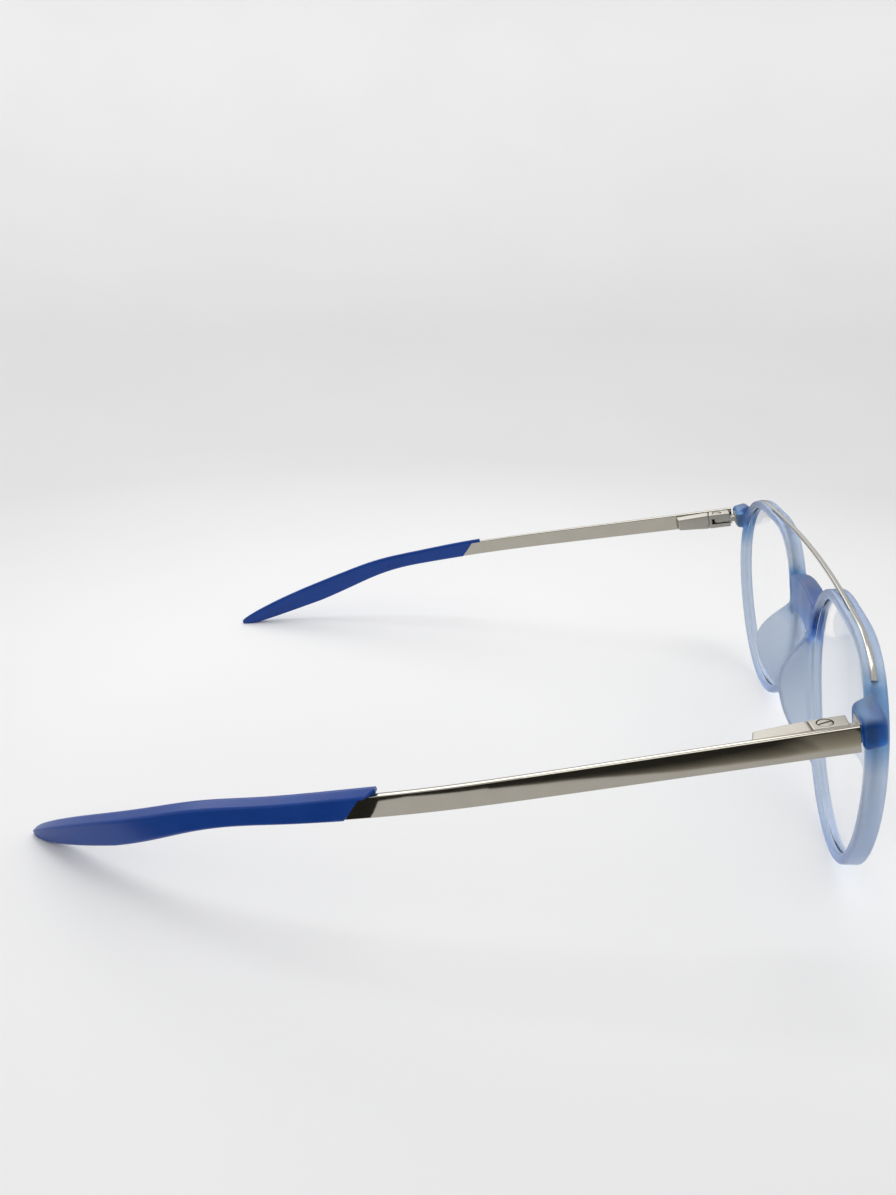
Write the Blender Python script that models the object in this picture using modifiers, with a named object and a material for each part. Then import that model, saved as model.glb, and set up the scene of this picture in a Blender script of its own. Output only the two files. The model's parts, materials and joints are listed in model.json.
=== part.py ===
"""Eyeglasses with a moulded front, a metal brow bar and two sprung metal temples.

Frame: +X to the wearer's left, -Y the way the front faces, +Z up. The glasses stand open on a
table at Z = 0, on the bottoms of their rims and on the heels of their temple tips.
"""
import math

import bmesh
import bpy
from mathutils import Matrix, Vector

MM = 0.001

# Clearances: between pieces that touch, and inside the small hinge.
GAP = 0.3 * MM
HINGE_GAP = 0.15 * MM

# Front: lens openings, rims and how the front sits.
OPENING_WIDTH = 48.0 * MM
OPENING_HEIGHT = 43.2 * MM
OPENING_FULLNESS = 1.4 * MM
OPENING_SQUARENESS = 0.34 * MM
BRIDGE_SPAN = 19.7 * MM
RIM_WIDTH = 1.9 * MM
RIM_DEPTH = 3.4 * MM
RIM_ROUNDING = 0.45 * MM
RIM_STEPS = 64
FRONT_BOW_RADIUS = 580.0 * MM
FRONT_TILT = math.radians(4.4)
FRONT_BEHIND_HINGE = -13.59 * MM

# Lenses, held in a groove round each opening.
LENS_THICKNESS = 1.1 * MM
LENS_DOME = 1.3 * MM
LENS_BITE = 0.3 * MM
LENS_SIDES = 44
GROOVE_WIDTH = LENS_THICKNESS + 2 * GAP
GROOVE_DEPTH = LENS_BITE + 0.2 * MM
GROOVE_FRONT = 1.0 * MM
SEAT_SHY = 0.03 * MM

# Brow bar, let into the rims' outer edge and straight across the bridge.
BAR_WIDTH = 1.0 * MM
BAR_THICKNESS = 0.8 * MM
BAR_DEPTH = 1.9 * MM
BAR_EDGE = 0.25 * MM
BAR_PROUD = 0.05 * MM
BAR_END_ANGLE = math.radians(42.0)
BAR_SLOT_OVERRUN = math.radians(1.3)
BAR_STEPS = 12
BAR_ARCH = 0.6 * MM

# Bridge, a moulded saddle below the brow bar.
BRIDGE_TOP_MIDDLE = 14.7 * MM
BRIDGE_TOP_FALL = 2.5 * MM
BRIDGE_TOP_HALF = 13.3 * MM
BRIDGE_LOW_MIDDLE = 7.1 * MM
BRIDGE_LOW_DROP = 3.4 * MM
BRIDGE_LOW_HALF = 9.6 * MM
BRIDGE_STEPS = 10
BRIDGE_ROUNDING = 0.9 * MM

# Nose pads, fins moulded on the nasal side of each rim.
PAD_TOP = 7.2 * MM
PAD_PEAK = -2.0 * MM
PAD_BOTTOM = -17.0 * MM
PAD_REACH = 6.0 * MM
PAD_SPLAY = math.radians(27.0)
PAD_THICKNESS = 1.3 * MM
PAD_ROOT = 1.6 * MM
PAD_STEPS = 24
PAD_RINGS = 5
PAD_ROUNDING = 0.35 * MM

# Lug, the block at each end of the front that carries the hinge.
LUG_REAR = -4.2 * MM
LUG_DEPTH = 4.5 * MM
LUG_INNER = -3.9 * MM
LUG_OUTER = 3.4 * MM
LUG_HALF_HEIGHT = 2.45 * MM
LUG_TOP_RISE = 1.6 * MM
LUG_UNDER_RISE = 0.3 * MM
LUG_FRONT_RISE = 0.5 * MM
LUG_FRONT_SWEEP = 0.9 * MM
LUG_ROUNDING = 0.8 * MM

# Temple: where its hinge axis stands, how it slopes and bends.
HINGE_X = 60.55 * MM
HINGE_Y = -60.85 * MM
HINGE_HEIGHT = 36.23 * MM
TEMPLE_SLOPE = math.radians(11.46)
TEMPLE_SPLAY = math.radians(5.96)
TEMPLE_REACH = 142.8 * MM
INWARD_START = 49.0 * MM
INWARD_CURVE = 5.4
INWARD_SOFTNESS = 6.0 * MM
EAR_BEND = math.radians(10.0)
EAR_BEND_AT = 98.0 * MM
EAR_BEND_LENGTH = 20.0 * MM
PATH_STEP = 1.0 * MM

# Temple arm, a flat metal strip that ends in a slanted shoulder and a core inside the tip.
ARM_THICKNESS = 1.2 * MM
ARM_HEIGHT_FRONT = 4.2 * MM
ARM_HEIGHT_REAR = 3.7 * MM
ARM_FRONT = LUG_REAR + GAP
SHOULDER_TOP = 70.2 * MM
SHOULDER_SLANT = 2.7 * MM
ARM_EDGE = 0.18 * MM
CORE_HEIGHT = 1.8 * MM
CORE_THICKNESS = 0.8 * MM
CORE_END = 118.0 * MM

# Temple tip, a moulded sleeve that swells to a heel and narrows to a round nose.
TIP_LIP = 2.2 * MM
LIP_GAP = 0.2 * MM
TIP_STEPS = 10
TIP_WIDTH = 2.8 * MM
TIP_TOP = 2.5 * MM
TIP_TOP_FALL = 0.9 * MM
TIP_LIP_RISE = 0.6 * MM
TIP_LIP_FADE = 24.0 * MM
TIP_BOTTOM = 2.1 * MM
TIP_SWELL = 1.4 * MM
TIP_SWELL_START = 86.0 * MM
TIP_HEEL_RISE = 1.2 * MM
TIP_NOSE_DROP = 0.7 * MM
TIP_BLUNTNESS = 3.2
HEEL_AT = 119.0 * MM
NOSE_LENGTH = 23.8 * MM
TIP_SQUARENESS = 3.2
TIP_SIDES = 20

# Spring hinge: box on the inner face of the arm, with the slider's two leaves in front of it.
BOX_WIDTH = 3.1 * MM
BOX_HEIGHT = 3.8 * MM
BOX_FRONT = 2.4 * MM
BOX_LENGTH = 8.6 * MM
BOX_WALL = 0.4 * MM
BOX_LID = 0.75 * MM
BOX_REAR_WALL = 0.45 * MM
BOX_REAR_SLOPE = 0.9 * MM
BOX_TAPER = 0.2 * MM
BOX_FALL = 0.4 * MM
BOX_ROUNDING = 0.25 * MM
SLIDER_FRONT = -3.1 * MM
SLIDER_REAR = BOX_FRONT - 0.25 * MM
TONGUE_HEIGHT = 1.2 * MM
TONGUE_RADIUS = 1.15 * MM
ANCHOR_DEPTH = 2.6 * MM
ANCHOR_INNER = -2.2 * MM
ANCHOR_OUTER = 1.4 * MM
ANCHOR_HALF_HEIGHT = 1.5 * MM
ROD_RADIUS = 0.4 * MM
ROD_END = 9.3 * MM
SPRING_WIRE = 0.13 * MM
SPRING_RADIUS = 0.8 * MM
SPRING_TURNS = 5
SPRING_STEPS = 9
COLLAR_LENGTH = 1.0 * MM
STOP_LENGTH = 0.6 * MM
SCREW_RADIUS = 0.6 * MM
HEAD_RADIUS = 1.1 * MM
HEAD_HEIGHT = 0.45 * MM
SLOT_WIDTH = 0.35 * MM
SLOT_DEPTH = 0.22 * MM
ROUND_SIDES = 24

# The left hinge pin leans towards the nose, so that the left temple folds below the right one.
PIN_LEAN = {"right": 0.0, "left": math.radians(4.5)}

SIDES = {"right": -1.0, "left": 1.0}
OPENING_CENTRE = (BRIDGE_SPAN + OPENING_WIDTH) / 2
ARM_OUTER = BOX_WIDTH / 2 + GAP + ARM_THICKNESS


def clear_scene():
    """Removes what a new file holds, so that the model stands alone."""
    for thing in list(bpy.data.objects):
        bpy.data.objects.remove(thing, do_unlink=True)


def new_collection(name):
    collection = bpy.data.collections.new(name)
    bpy.context.scene.collection.children.link(collection)
    return collection


def new_material(name, colour, roughness, metallic=0.0, transmission=0.0):
    material = bpy.data.materials.new(name)
    material.use_nodes = True
    shader = material.node_tree.nodes["Principled BSDF"]
    shader.inputs["Base Color"].default_value = (*colour, 1.0)
    shader.inputs["Roughness"].default_value = roughness
    shader.inputs["Metallic"].default_value = metallic
    shader.inputs["Transmission Weight"].default_value = transmission
    return material


def new_empty(name, matrix):
    empty = bpy.data.objects.new(name, None)
    PARTS.objects.link(empty)
    empty.empty_display_size = 5 * MM
    empty.matrix_world = matrix
    return empty


def close_up(mesh, flat_angle=35.0):
    """Welds a mesh's seams, points its faces outwards and shades its round faces smooth."""
    shape = bmesh.new()
    shape.from_mesh(mesh)
    bmesh.ops.remove_doubles(shape, verts=shape.verts, dist=1e-6)
    bmesh.ops.recalc_face_normals(shape, faces=shape.faces)
    shape.to_mesh(mesh)
    shape.free()
    mesh.shade_smooth()
    mesh.set_sharp_from_angle(angle=math.radians(flat_angle))
    return mesh


def put(name, mesh, parent, material=None):
    """Adds a piece, or a hidden cutter where there is no material, below an empty."""
    thing = bpy.data.objects.new(name, close_up(mesh))
    thing.parent = parent
    if material is None:
        CUTTERS.objects.link(thing)
        thing.hide_render = True
        thing.display_type = "WIRE"
    else:
        PARTS.objects.link(thing)
        mesh.materials.append(material)
    return thing


def boolean(thing, other, operation):
    step = thing.modifiers.new(operation.lower() + "_" + other.name, "BOOLEAN")
    step.operation = operation
    step.object = other
    step.solver = "EXACT"


def soften(thing, width, segments=2, angle=30.0):
    step = thing.modifiers.new("rounded_edges", "BEVEL")
    step.width = width
    step.segments = segments
    step.limit_method = "ANGLE"
    step.angle_limit = math.radians(angle)


def flat_curve(name, points, cyclic):
    curve = bpy.data.curves.new(name, "CURVE")
    curve.dimensions = "2D"
    spline = curve.splines.new("POLY")
    spline.points.add(len(points) - 1)
    for place, (across, along) in zip(spline.points, points):
        place.co = (across, along, 0.0, 1.0)
    spline.use_cyclic_u = cyclic
    thing = bpy.data.objects.new(name, curve)
    CUTTERS.objects.link(thing)
    return thing


def curve_to_mesh(curve, name):
    depsgraph = bpy.context.evaluated_depsgraph_get()
    mesh = bpy.data.meshes.new_from_object(curve.evaluated_get(depsgraph))
    mesh.name = name
    bpy.data.objects.remove(curve, do_unlink=True)
    return mesh


def stand_up(mesh):
    """Turns a shape drawn flat, with its depth along Z, into the upright and bowed front."""
    for vertex in mesh.vertices:
        across, up, depth = vertex.co
        vertex.co = (across, depth + across * across / (2 * FRONT_BOW_RADIUS), up)
    return mesh


def sweep(name, path, profile, cyclic):
    """Runs a closed profile (outward, depth) along a flat path and stands the result up."""
    outward = -1.0 if cyclic else 1.0
    section = flat_curve(name + "_section", [(outward * n, d) for n, d in profile], True)
    rail = flat_curve(name + "_rail", path, cyclic)
    rail.data.bevel_mode = "OBJECT"
    rail.data.bevel_object = section
    rail.data.use_fill_caps = not cyclic
    rail.data.fill_mode = "NONE"
    mesh = curve_to_mesh(rail, name)
    bpy.data.objects.remove(section, do_unlink=True)
    return stand_up(mesh)


def plate(name, outline, depth):
    """Fills a flat outline, gives it depth and stands it up."""
    sheet = flat_curve(name + "_outline", outline, True)
    sheet.data.fill_mode = "BOTH"
    sheet.data.extrude = depth / 2
    mesh = curve_to_mesh(sheet, name)
    mesh.transform(Matrix.Translation((0, 0, depth / 2)))
    return stand_up(mesh)


def loft(name, rings):
    """Skins a row of equal rings of points and caps both ends."""
    shape = bmesh.new()
    rows = [[shape.verts.new(point) for point in ring] for ring in rings]
    for row, following in zip(rows, rows[1:]):
        for i in range(len(row)):
            shape.faces.new((row[i - 1], row[i], following[i], following[i - 1]))
    shape.faces.new(rows[0])
    shape.faces.new(reversed(rows[-1]))
    mesh = bpy.data.meshes.new(name)
    shape.to_mesh(mesh)
    shape.free()
    return mesh


def box(name, low, high):
    shape = bmesh.new()
    middle = [(a + b) / 2 for a, b in zip(low, high)]
    size = [abs(b - a) for a, b in zip(low, high)]
    place = Matrix.Translation(middle) @ Matrix.Diagonal((*size, 1.0))
    bmesh.ops.create_cube(shape, size=1.0, matrix=place)
    mesh = bpy.data.meshes.new(name)
    shape.to_mesh(mesh)
    shape.free()
    return mesh


def cylinder(name, radius, start, end, sides=ROUND_SIDES):
    """A round bar between two points."""
    start = Vector(start)
    run = Vector(end) - start
    turn = run.to_track_quat("Z", "Y").to_matrix().to_4x4()
    place = Matrix.Translation(start + run / 2) @ turn
    shape = bmesh.new()
    bmesh.ops.create_cone(shape, cap_ends=True, segments=sides, radius1=radius, radius2=radius,
                          depth=run.length, matrix=place)
    mesh = bpy.data.meshes.new(name)
    shape.to_mesh(mesh)
    shape.free()
    return mesh


def opening_radius(angle):
    """From the lens centre to the opening's edge: angle 0 to the temple, a quarter turn up.

    An ellipse, made fuller at its upper corners and at its foot, and a little squarer.
    """
    across = math.cos(angle) / (OPENING_WIDTH / 2)
    up = math.sin(angle) / (OPENING_HEIGHT / 2)
    fuller = OPENING_FULLNESS * math.sin(3 * angle)
    squarer = -OPENING_SQUARENESS * math.cos(4 * angle)
    return 1 / math.hypot(across, up) + fuller + squarer


def rim_point(angle, offset, side):
    """A point in the front's own plane, a distance outside the opening's edge."""
    radius = opening_radius(angle) + offset
    return side * (OPENING_CENTRE + radius * math.cos(angle)), radius * math.sin(angle)


def rounded_section(width, depth, rounding):
    """The rim's section, from its inner front corner round to its inner rear corner."""
    points = [(0.0, 0.35 * rounding), (0.35 * rounding, 0.0)]
    for corner_depth, turn in ((rounding, -90.0), (depth - rounding, 0.0)):
        for step in range(4):
            angle = math.radians(turn + 30.0 * step)
            out = width - rounding + rounding * math.cos(angle)
            points.append((out, corner_depth + rounding * math.sin(angle)))
    points += [(0.35 * rounding, depth), (0.0, depth - 0.35 * rounding)]
    return points


def rim_ring(offset, side):
    """The opening's edge as a ring of points, moved outwards by an offset."""
    return [rim_point(math.tau * step / RIM_STEPS, offset, side) for step in range(RIM_STEPS)]


def make_rim(name, side):
    profile = rounded_section(RIM_WIDTH, RIM_DEPTH, RIM_ROUNDING)
    return sweep(name, rim_ring(0.0, side), profile, True)


def make_lens_seat(name, side):
    """What the lens needs: a clear opening with a groove for the lens's edge round it."""
    groove_rear = GROOVE_FRONT + GROOVE_WIDTH
    steps = [(-SEAT_SHY, -2 * MM), (-SEAT_SHY, GROOVE_FRONT), (GROOVE_DEPTH, GROOVE_FRONT),
             (GROOVE_DEPTH, groove_rear), (-SEAT_SHY, groove_rear), (-SEAT_SHY, RIM_DEPTH + SEAT_SHY)]
    rings = [[(across, up, depth) for across, up in rim_ring(offset, side)] for offset, depth in steps]
    return stand_up(loft(name, rings))


def make_bridge():
    """The saddle's outline: a low hump on top and an arch below."""
    top = []
    low = []
    for step in range(BRIDGE_STEPS + 1):
        share = 2 * step / BRIDGE_STEPS - 1
        top.append((share * BRIDGE_TOP_HALF, BRIDGE_TOP_MIDDLE - BRIDGE_TOP_FALL * share ** 2))
        low.append((-share * BRIDGE_LOW_HALF, BRIDGE_LOW_MIDDLE - BRIDGE_LOW_DROP * share ** 2))
    return plate("bridge", top + low, RIM_DEPTH)


def pad_reach(height):
    """How far the pad's edge stands behind the rim at a height on the front."""
    span = PAD_TOP - PAD_PEAK if height > PAD_PEAK else PAD_PEAK - PAD_BOTTOM
    return PAD_REACH * math.cos(0.5 * math.pi * min(abs(height - PAD_PEAK) / span, 1.0))


def nasal_angle(height):
    """The angle at which the rim's nasal side reaches a height, found by halving."""
    low, high = 0.6 * math.pi, 1.4 * math.pi
    for _ in range(40):
        middle = (low + high) / 2
        if rim_point(middle, RIM_WIDTH / 2, 1.0)[1] > height:
            low = middle
        else:
            high = middle
    return low


def make_pad(name, side):
    """A sheet from inside the rim back to the pad's rounded rear edge, given thickness."""
    shape = bmesh.new()
    rows = []
    for step in range(PAD_STEPS + 1):
        height = PAD_TOP + (PAD_BOTTOM - PAD_TOP) * step / PAD_STEPS
        across, up = rim_point(nasal_angle(height), RIM_WIDTH / 2, 1.0)
        reach = pad_reach(height)
        row = []
        for ring in range(PAD_RINGS + 1):
            back = -PAD_ROOT + (PAD_ROOT + reach) * ring / PAD_RINGS
            flare = max(back, 0.0) * math.tan(PAD_SPLAY)
            depth = RIM_DEPTH + back
            row.append(shape.verts.new((side * (across + flare), up, depth)))
        rows.append(row)
    for row, following in zip(rows, rows[1:]):
        for i in range(PAD_RINGS):
            shape.faces.new((row[i], row[i + 1], following[i + 1], following[i]))
    mesh = bpy.data.meshes.new(name)
    shape.to_mesh(mesh)
    shape.free()
    pad = put(name, stand_up(mesh), FRONT)
    wall = pad.modifiers.new("wall", "SOLIDIFY")
    wall.thickness = PAD_THICKNESS
    wall.offset = 0.0
    wall.use_even_offset = True
    soften(pad, PAD_ROUNDING, 2, 40.0)
    return pad


def rear_face_shift(out):
    """How far the lug's rear face stands forward of its outer edge, square to the front's run."""
    return (out - LUG_OUTER) * math.tan(TEMPLE_SPLAY)


def make_lug(name, side, temple):
    """A rounded block whose top rises to the rim in front of it."""
    low = (LUG_INNER, LUG_REAR - LUG_DEPTH, -LUG_HALF_HEIGHT)
    high = (LUG_OUTER, LUG_REAR, LUG_HALF_HEIGHT)
    mesh = box(name, low, high)
    for vertex in mesh.vertices:
        in_front = vertex.co.y < LUG_REAR - LUG_DEPTH / 2
        outside = vertex.co.x > 0
        if in_front and vertex.co.z > 0:
            vertex.co.z += 0.0 if outside else LUG_TOP_RISE
        if vertex.co.z < 0:
            vertex.co.z += LUG_UNDER_RISE
        if in_front and outside:
            vertex.co.y += LUG_FRONT_SWEEP
            vertex.co.z += LUG_FRONT_RISE
        if not in_front:
            vertex.co.y += rear_face_shift(vertex.co.x)
        vertex.co.x *= side
    lug = put(name, mesh, temple)
    soften(lug, LUG_ROUNDING, 3)
    return lug


def bar_path(overrun):
    """Along the rim's edge from one end to its highest point, across, and down the other rim."""
    start = BAR_END_ANGLE - overrun
    turns = [start + (math.pi / 2 - start) * step / BAR_STEPS for step in range(BAR_STEPS + 1)]
    half = [rim_point(angle, RIM_WIDTH, 1.0) for angle in turns]
    right = [(-across, up) for across, up in half]
    reach, top = half[-1]
    middle = []
    for step in range(1, 2 * BAR_STEPS):
        share = step / BAR_STEPS - 1
        middle.append((share * reach, top + BAR_ARCH * (1 - share ** 2)))
    return right + middle + list(reversed(half))


def bar_profile(clearance):
    """The bar's section: outward from the rim's edge, and depth behind the rim's front face."""
    half = BAR_WIDTH / 2 + clearance
    low = BAR_THICKNESS + clearance
    if clearance:
        top = [(-2 * MM, -half), (-2 * MM, half)]
    else:
        top = [(BAR_EDGE - BAR_PROUD, -half), (-BAR_PROUD, BAR_EDGE - half),
               (-BAR_PROUD, half - BAR_EDGE), (BAR_EDGE - BAR_PROUD, half)]
    return [(down, BAR_DEPTH + across) for down, across in [(low, -half), *top, (low, half)]]


def make_front():
    """Both rims, the bridge, the pads and the lugs, moulded as one piece and then cut."""
    front = put("front_frame", make_rim("front_frame", -1.0), FRONT, FROSTED_BLUE)
    additions = [put("left_rim", make_rim("left_rim", 1.0), FRONT)]
    bridge = put("bridge", make_bridge(), FRONT)
    soften(bridge, BRIDGE_ROUNDING, 3)
    additions.append(bridge)
    for name, side in SIDES.items():
        additions.append(make_lug("lug_" + name, side, TEMPLES[name]))
        additions.append(make_pad("pad_" + name, side))
    for piece in additions:
        boolean(front, piece, "UNION")
    for name, side in SIDES.items():
        seat = put("lens_seat_" + name, make_lens_seat("lens_seat_" + name, side), FRONT)
        boolean(front, seat, "DIFFERENCE")
    slot = sweep("bar_slot", bar_path(BAR_SLOT_OVERRUN), bar_profile(HINGE_GAP), False)
    boolean(front, put("bar_slot", slot, FRONT), "DIFFERENCE")
    for name, side in SIDES.items():
        high = ANCHOR_HALF_HEIGHT + GAP
        pocket = box("pocket_" + name,
                     (side * (ANCHOR_INNER - GAP), LUG_REAR - ANCHOR_DEPTH - GAP, -high),
                     (side * (ANCHOR_OUTER + GAP), LUG_REAR + GAP, high))
        boolean(front, put("pocket_" + name, pocket, PINS[name]), "DIFFERENCE")
    return front


def make_lens(name, side):
    """A disc shaped to the opening, domed forwards, with its edge in the rim's groove."""
    shape = bmesh.new()
    bmesh.ops.create_circle(shape, cap_ends=True, cap_tris=True, segments=LENS_SIDES, radius=1.0)
    spokes = [edge for edge in shape.edges if min(v.co.length for v in edge.verts) < 0.5]
    bmesh.ops.subdivide_edges(shape, edges=spokes, cuts=3, use_grid_fill=True)
    bmesh.ops.remove_doubles(shape, verts=shape.verts, dist=1e-5)
    for vertex in shape.verts:
        share = vertex.co.length
        angle = math.atan2(vertex.co.y, vertex.co.x)
        radius = share * (opening_radius(angle) + LENS_BITE)
        depth = GROOVE_FRONT + GROOVE_WIDTH / 2 - LENS_DOME * (1 - share ** 2)
        vertex.co = (side * (OPENING_CENTRE + radius * math.cos(angle)), radius * math.sin(angle), depth)
    mesh = bpy.data.meshes.new(name)
    shape.to_mesh(mesh)
    shape.free()
    lens = put(name, stand_up(mesh), FRONT, CLEAR_LENS)
    wall = lens.modifiers.new("thickness", "SOLIDIFY")
    wall.thickness = LENS_THICKNESS
    wall.offset = 0.0
    return lens


def temple_path():
    """Points along the temple from the hinge axis back, with its bends, as place and directions.

    Each entry is (run, place, outward, up) in the hinge's own frame, outwards being +X.
    """
    path = []
    place = Vector((0.0, 0.0, 0.0))
    steps = round((TEMPLE_REACH - ARM_FRONT) / PATH_STEP)
    for step in range(steps + 1):
        run = ARM_FRONT + (TEMPLE_REACH - ARM_FRONT) * step / steps
        beyond = run - INWARD_START
        turn_in = INWARD_CURVE * 0.5 * (beyond + math.hypot(beyond, INWARD_SOFTNESS))
        share = min(max((run - EAR_BEND_AT) / EAR_BEND_LENGTH + 0.5, 0.0), 1.0)
        dip = EAR_BEND * share * share * (3 - 2 * share)
        heading = Matrix.Rotation(turn_in, 3, "Z") @ Matrix.Rotation(-dip, 3, "X")
        if step == 0:
            place = Vector((0.0, run, 0.0))
        else:
            place = place + heading @ Vector((0.0, (TEMPLE_REACH - ARM_FRONT) / steps, 0.0))
        path.append((run, place.copy(), heading @ Vector((1, 0, 0)), heading @ Vector((0, 0, 1))))
    return path


def on_path(run, out, up, side):
    """A point on or beside the temple's path, mirrored for the wearer's right side."""
    spot = (run - ARM_FRONT) / (TEMPLE_REACH - ARM_FRONT) * (len(PATH) - 1)
    first = min(max(int(spot), 0), len(PATH) - 2)
    rest = spot - first
    point = Vector((0.0, 0.0, 0.0))
    for weight, entry in ((1 - rest, PATH[first]), (rest, PATH[first + 1])):
        point += weight * (entry[1] + entry[2] * out + entry[3] * up)
    return Vector((side * point.x, point.y, point.z))


def arm_height(run):
    share = max(run, 0.0) / SHOULDER_TOP
    return ARM_HEIGHT_FRONT + (ARM_HEIGHT_REAR - ARM_HEIGHT_FRONT) * share


def make_arm(name, side, temple):
    """The strip with bevelled edges and a slanted rear shoulder, joined to a slim core."""
    stations = [ARM_FRONT, 0.0, 12 * MM, 24 * MM, 36 * MM]
    stations += [SHOULDER_TOP - 8 * MM * step for step in (3, 2, 1, 0)]
    rings = []
    for run in stations:
        half = arm_height(run) / 2
        slant = SHOULDER_SLANT if run == SHOULDER_TOP else 0.0
        inner = ARM_OUTER - ARM_THICKNESS
        corners = [(ARM_OUTER, half - ARM_EDGE), (ARM_OUTER - ARM_EDGE, half), (inner, half),
                   (inner, -half), (ARM_OUTER - ARM_EDGE, -half), (ARM_OUTER, ARM_EDGE - half)]
        rings.append([on_path(run + slant * (half - up) / (2 * half), out, up, side)
                      for out, up in corners])
    arm = put(name, loft(name, rings), temple, SATIN_NICKEL)
    core = put(name + "_core", make_core(name + "_core", side, 0.0), temple)
    boolean(arm, core, "UNION")
    return arm


def make_core(name, side, clearance):
    """The slim end of the strip that the tip is pushed on to."""
    first = SHOULDER_TOP - 3 * MM
    last = CORE_END + clearance
    half_up = CORE_HEIGHT / 2 + clearance
    middle = ARM_OUTER - ARM_THICKNESS / 2
    half_out = CORE_THICKNESS / 2 + clearance
    rings = []
    for step in range(10):
        run = first + (last - first) * step / 9
        corners = ((half_out, half_up), (-half_out, half_up), (-half_out, -half_up), (half_out, -half_up))
        rings.append([on_path(run, middle + out, up, side) for out, up in corners])
    return loft(name, rings)


def ease(value, start, end):
    share = min(max((value - start) / (end - start), 0.0), 1.0)
    return share * share * (3 - 2 * share)


def tip_section(run):
    """Half width, top and bottom of the tip at a run along the temple."""
    swell = ease(run, TIP_SWELL_START, HEEL_AT)
    lip = TIP_LIP_RISE * (1 - ease(run, SHOULDER_TOP - TIP_LIP, SHOULDER_TOP + TIP_LIP_FADE))
    past = max(run - HEEL_AT, 0.0) / NOSE_LENGTH
    top = TIP_TOP + lip - TIP_NOSE_DROP * past ** 2
    bottom = -TIP_BOTTOM - TIP_SWELL * swell + TIP_HEEL_RISE * past
    middle = (top + bottom) / 2
    blunt = (1 - past ** TIP_BLUNTNESS) ** (1 / TIP_BLUNTNESS)
    half_width = TIP_WIDTH / 2 * blunt
    return half_width, middle + (top - middle) * blunt, middle + (bottom - middle) * blunt


def make_mouth(name, side):
    """What is cut from the tip's front end: a slant like the strip's shoulder, below a top lip."""
    slope = SHOULDER_SLANT / ARM_HEIGHT_REAR
    half = ARM_HEIGHT_REAR / 2
    roof = half + LIP_GAP
    floor = -2 * half
    outline = [(ARM_FRONT, floor), (ARM_FRONT, roof), (SHOULDER_TOP + GAP - slope * LIP_GAP, roof),
               (SHOULDER_TOP + GAP + slope * (half - floor), floor)]
    rings = [[on_path(run, out, up, side) for run, up in outline] for out in (-6 * MM, 6 * MM)]
    return loft(name, rings)


def tip_ring(run, side):
    """A rounded section of the tip, whose flat top falls from its inner to its outer edge."""
    half_width, top, bottom = tip_section(run)
    middle = (top + bottom) / 2
    half_height = (top - bottom) / 2
    centre = ARM_OUTER - ARM_THICKNESS / 2
    power = 2 / TIP_SQUARENESS
    ring = []
    for step in range(TIP_SIDES):
        angle = math.tau * (step + 0.5) / TIP_SIDES
        out = math.copysign(abs(math.cos(angle)) ** power, math.cos(angle))
        up = math.copysign(abs(math.sin(angle)) ** power, math.sin(angle))
        fall = TIP_TOP_FALL * half_width / TIP_WIDTH * (1 + out) * max(up, 0.0)
        ring.append(on_path(run, centre + out * half_width, middle + up * half_height - fall, side))
    return ring


def make_tip(name, side, temple):
    """A sleeve of rounded sections with a slanted mouth, a lip on top and a flat under its heel."""
    lip = SHOULDER_TOP - TIP_LIP
    stations = [lip + (HEEL_AT - lip) * step / TIP_STEPS for step in range(TIP_STEPS)]
    stations += [HEEL_AT + NOSE_LENGTH * share for share in (0, 0.2, 0.4, 0.6, 0.75, 0.86, 0.94, 0.985)]
    tip = put(name, loft(name, [tip_ring(run, side) for run in stations]), temple, MATT_BLUE)
    bore = put(name + "_bore", make_core(name + "_bore", side, GAP), temple)
    mouth = put(name + "_mouth", make_mouth(name + "_mouth", side), temple)
    for cutter in (bore, mouth, TABLE):
        boolean(tip, cutter, "DIFFERENCE")
    return tip


def make_box_housing(name, side, hinge):
    """A blind box, open to the front, with a sloping rear end."""
    half = BOX_WIDTH / 2
    high = BOX_HEIGHT / 2
    rear = BOX_FRONT + BOX_LENGTH
    mesh = box(name, (-half, BOX_FRONT, -high), (half, rear, high))
    for vertex in mesh.vertices:
        if vertex.co.y > rear - MM:
            vertex.co.z -= math.copysign(BOX_FALL, vertex.co.z)
            if vertex.co.x < 0:
                vertex.co.y -= BOX_REAR_SLOPE
                vertex.co.x += BOX_TAPER
        vertex.co.x *= side
    housing = put(name, mesh, hinge, SATIN_NICKEL)
    soften(housing, BOX_ROUNDING)
    inner = half - BOX_WALL
    hollow = box(name + "_hollow", (-inner, BOX_FRONT - MM, BOX_LID - high),
                 (inner, rear - BOX_REAR_WALL - BOX_REAR_SLOPE, high - BOX_LID))
    boolean(housing, put(name + "_hollow", hollow, hinge), "DIFFERENCE")
    return housing


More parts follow.
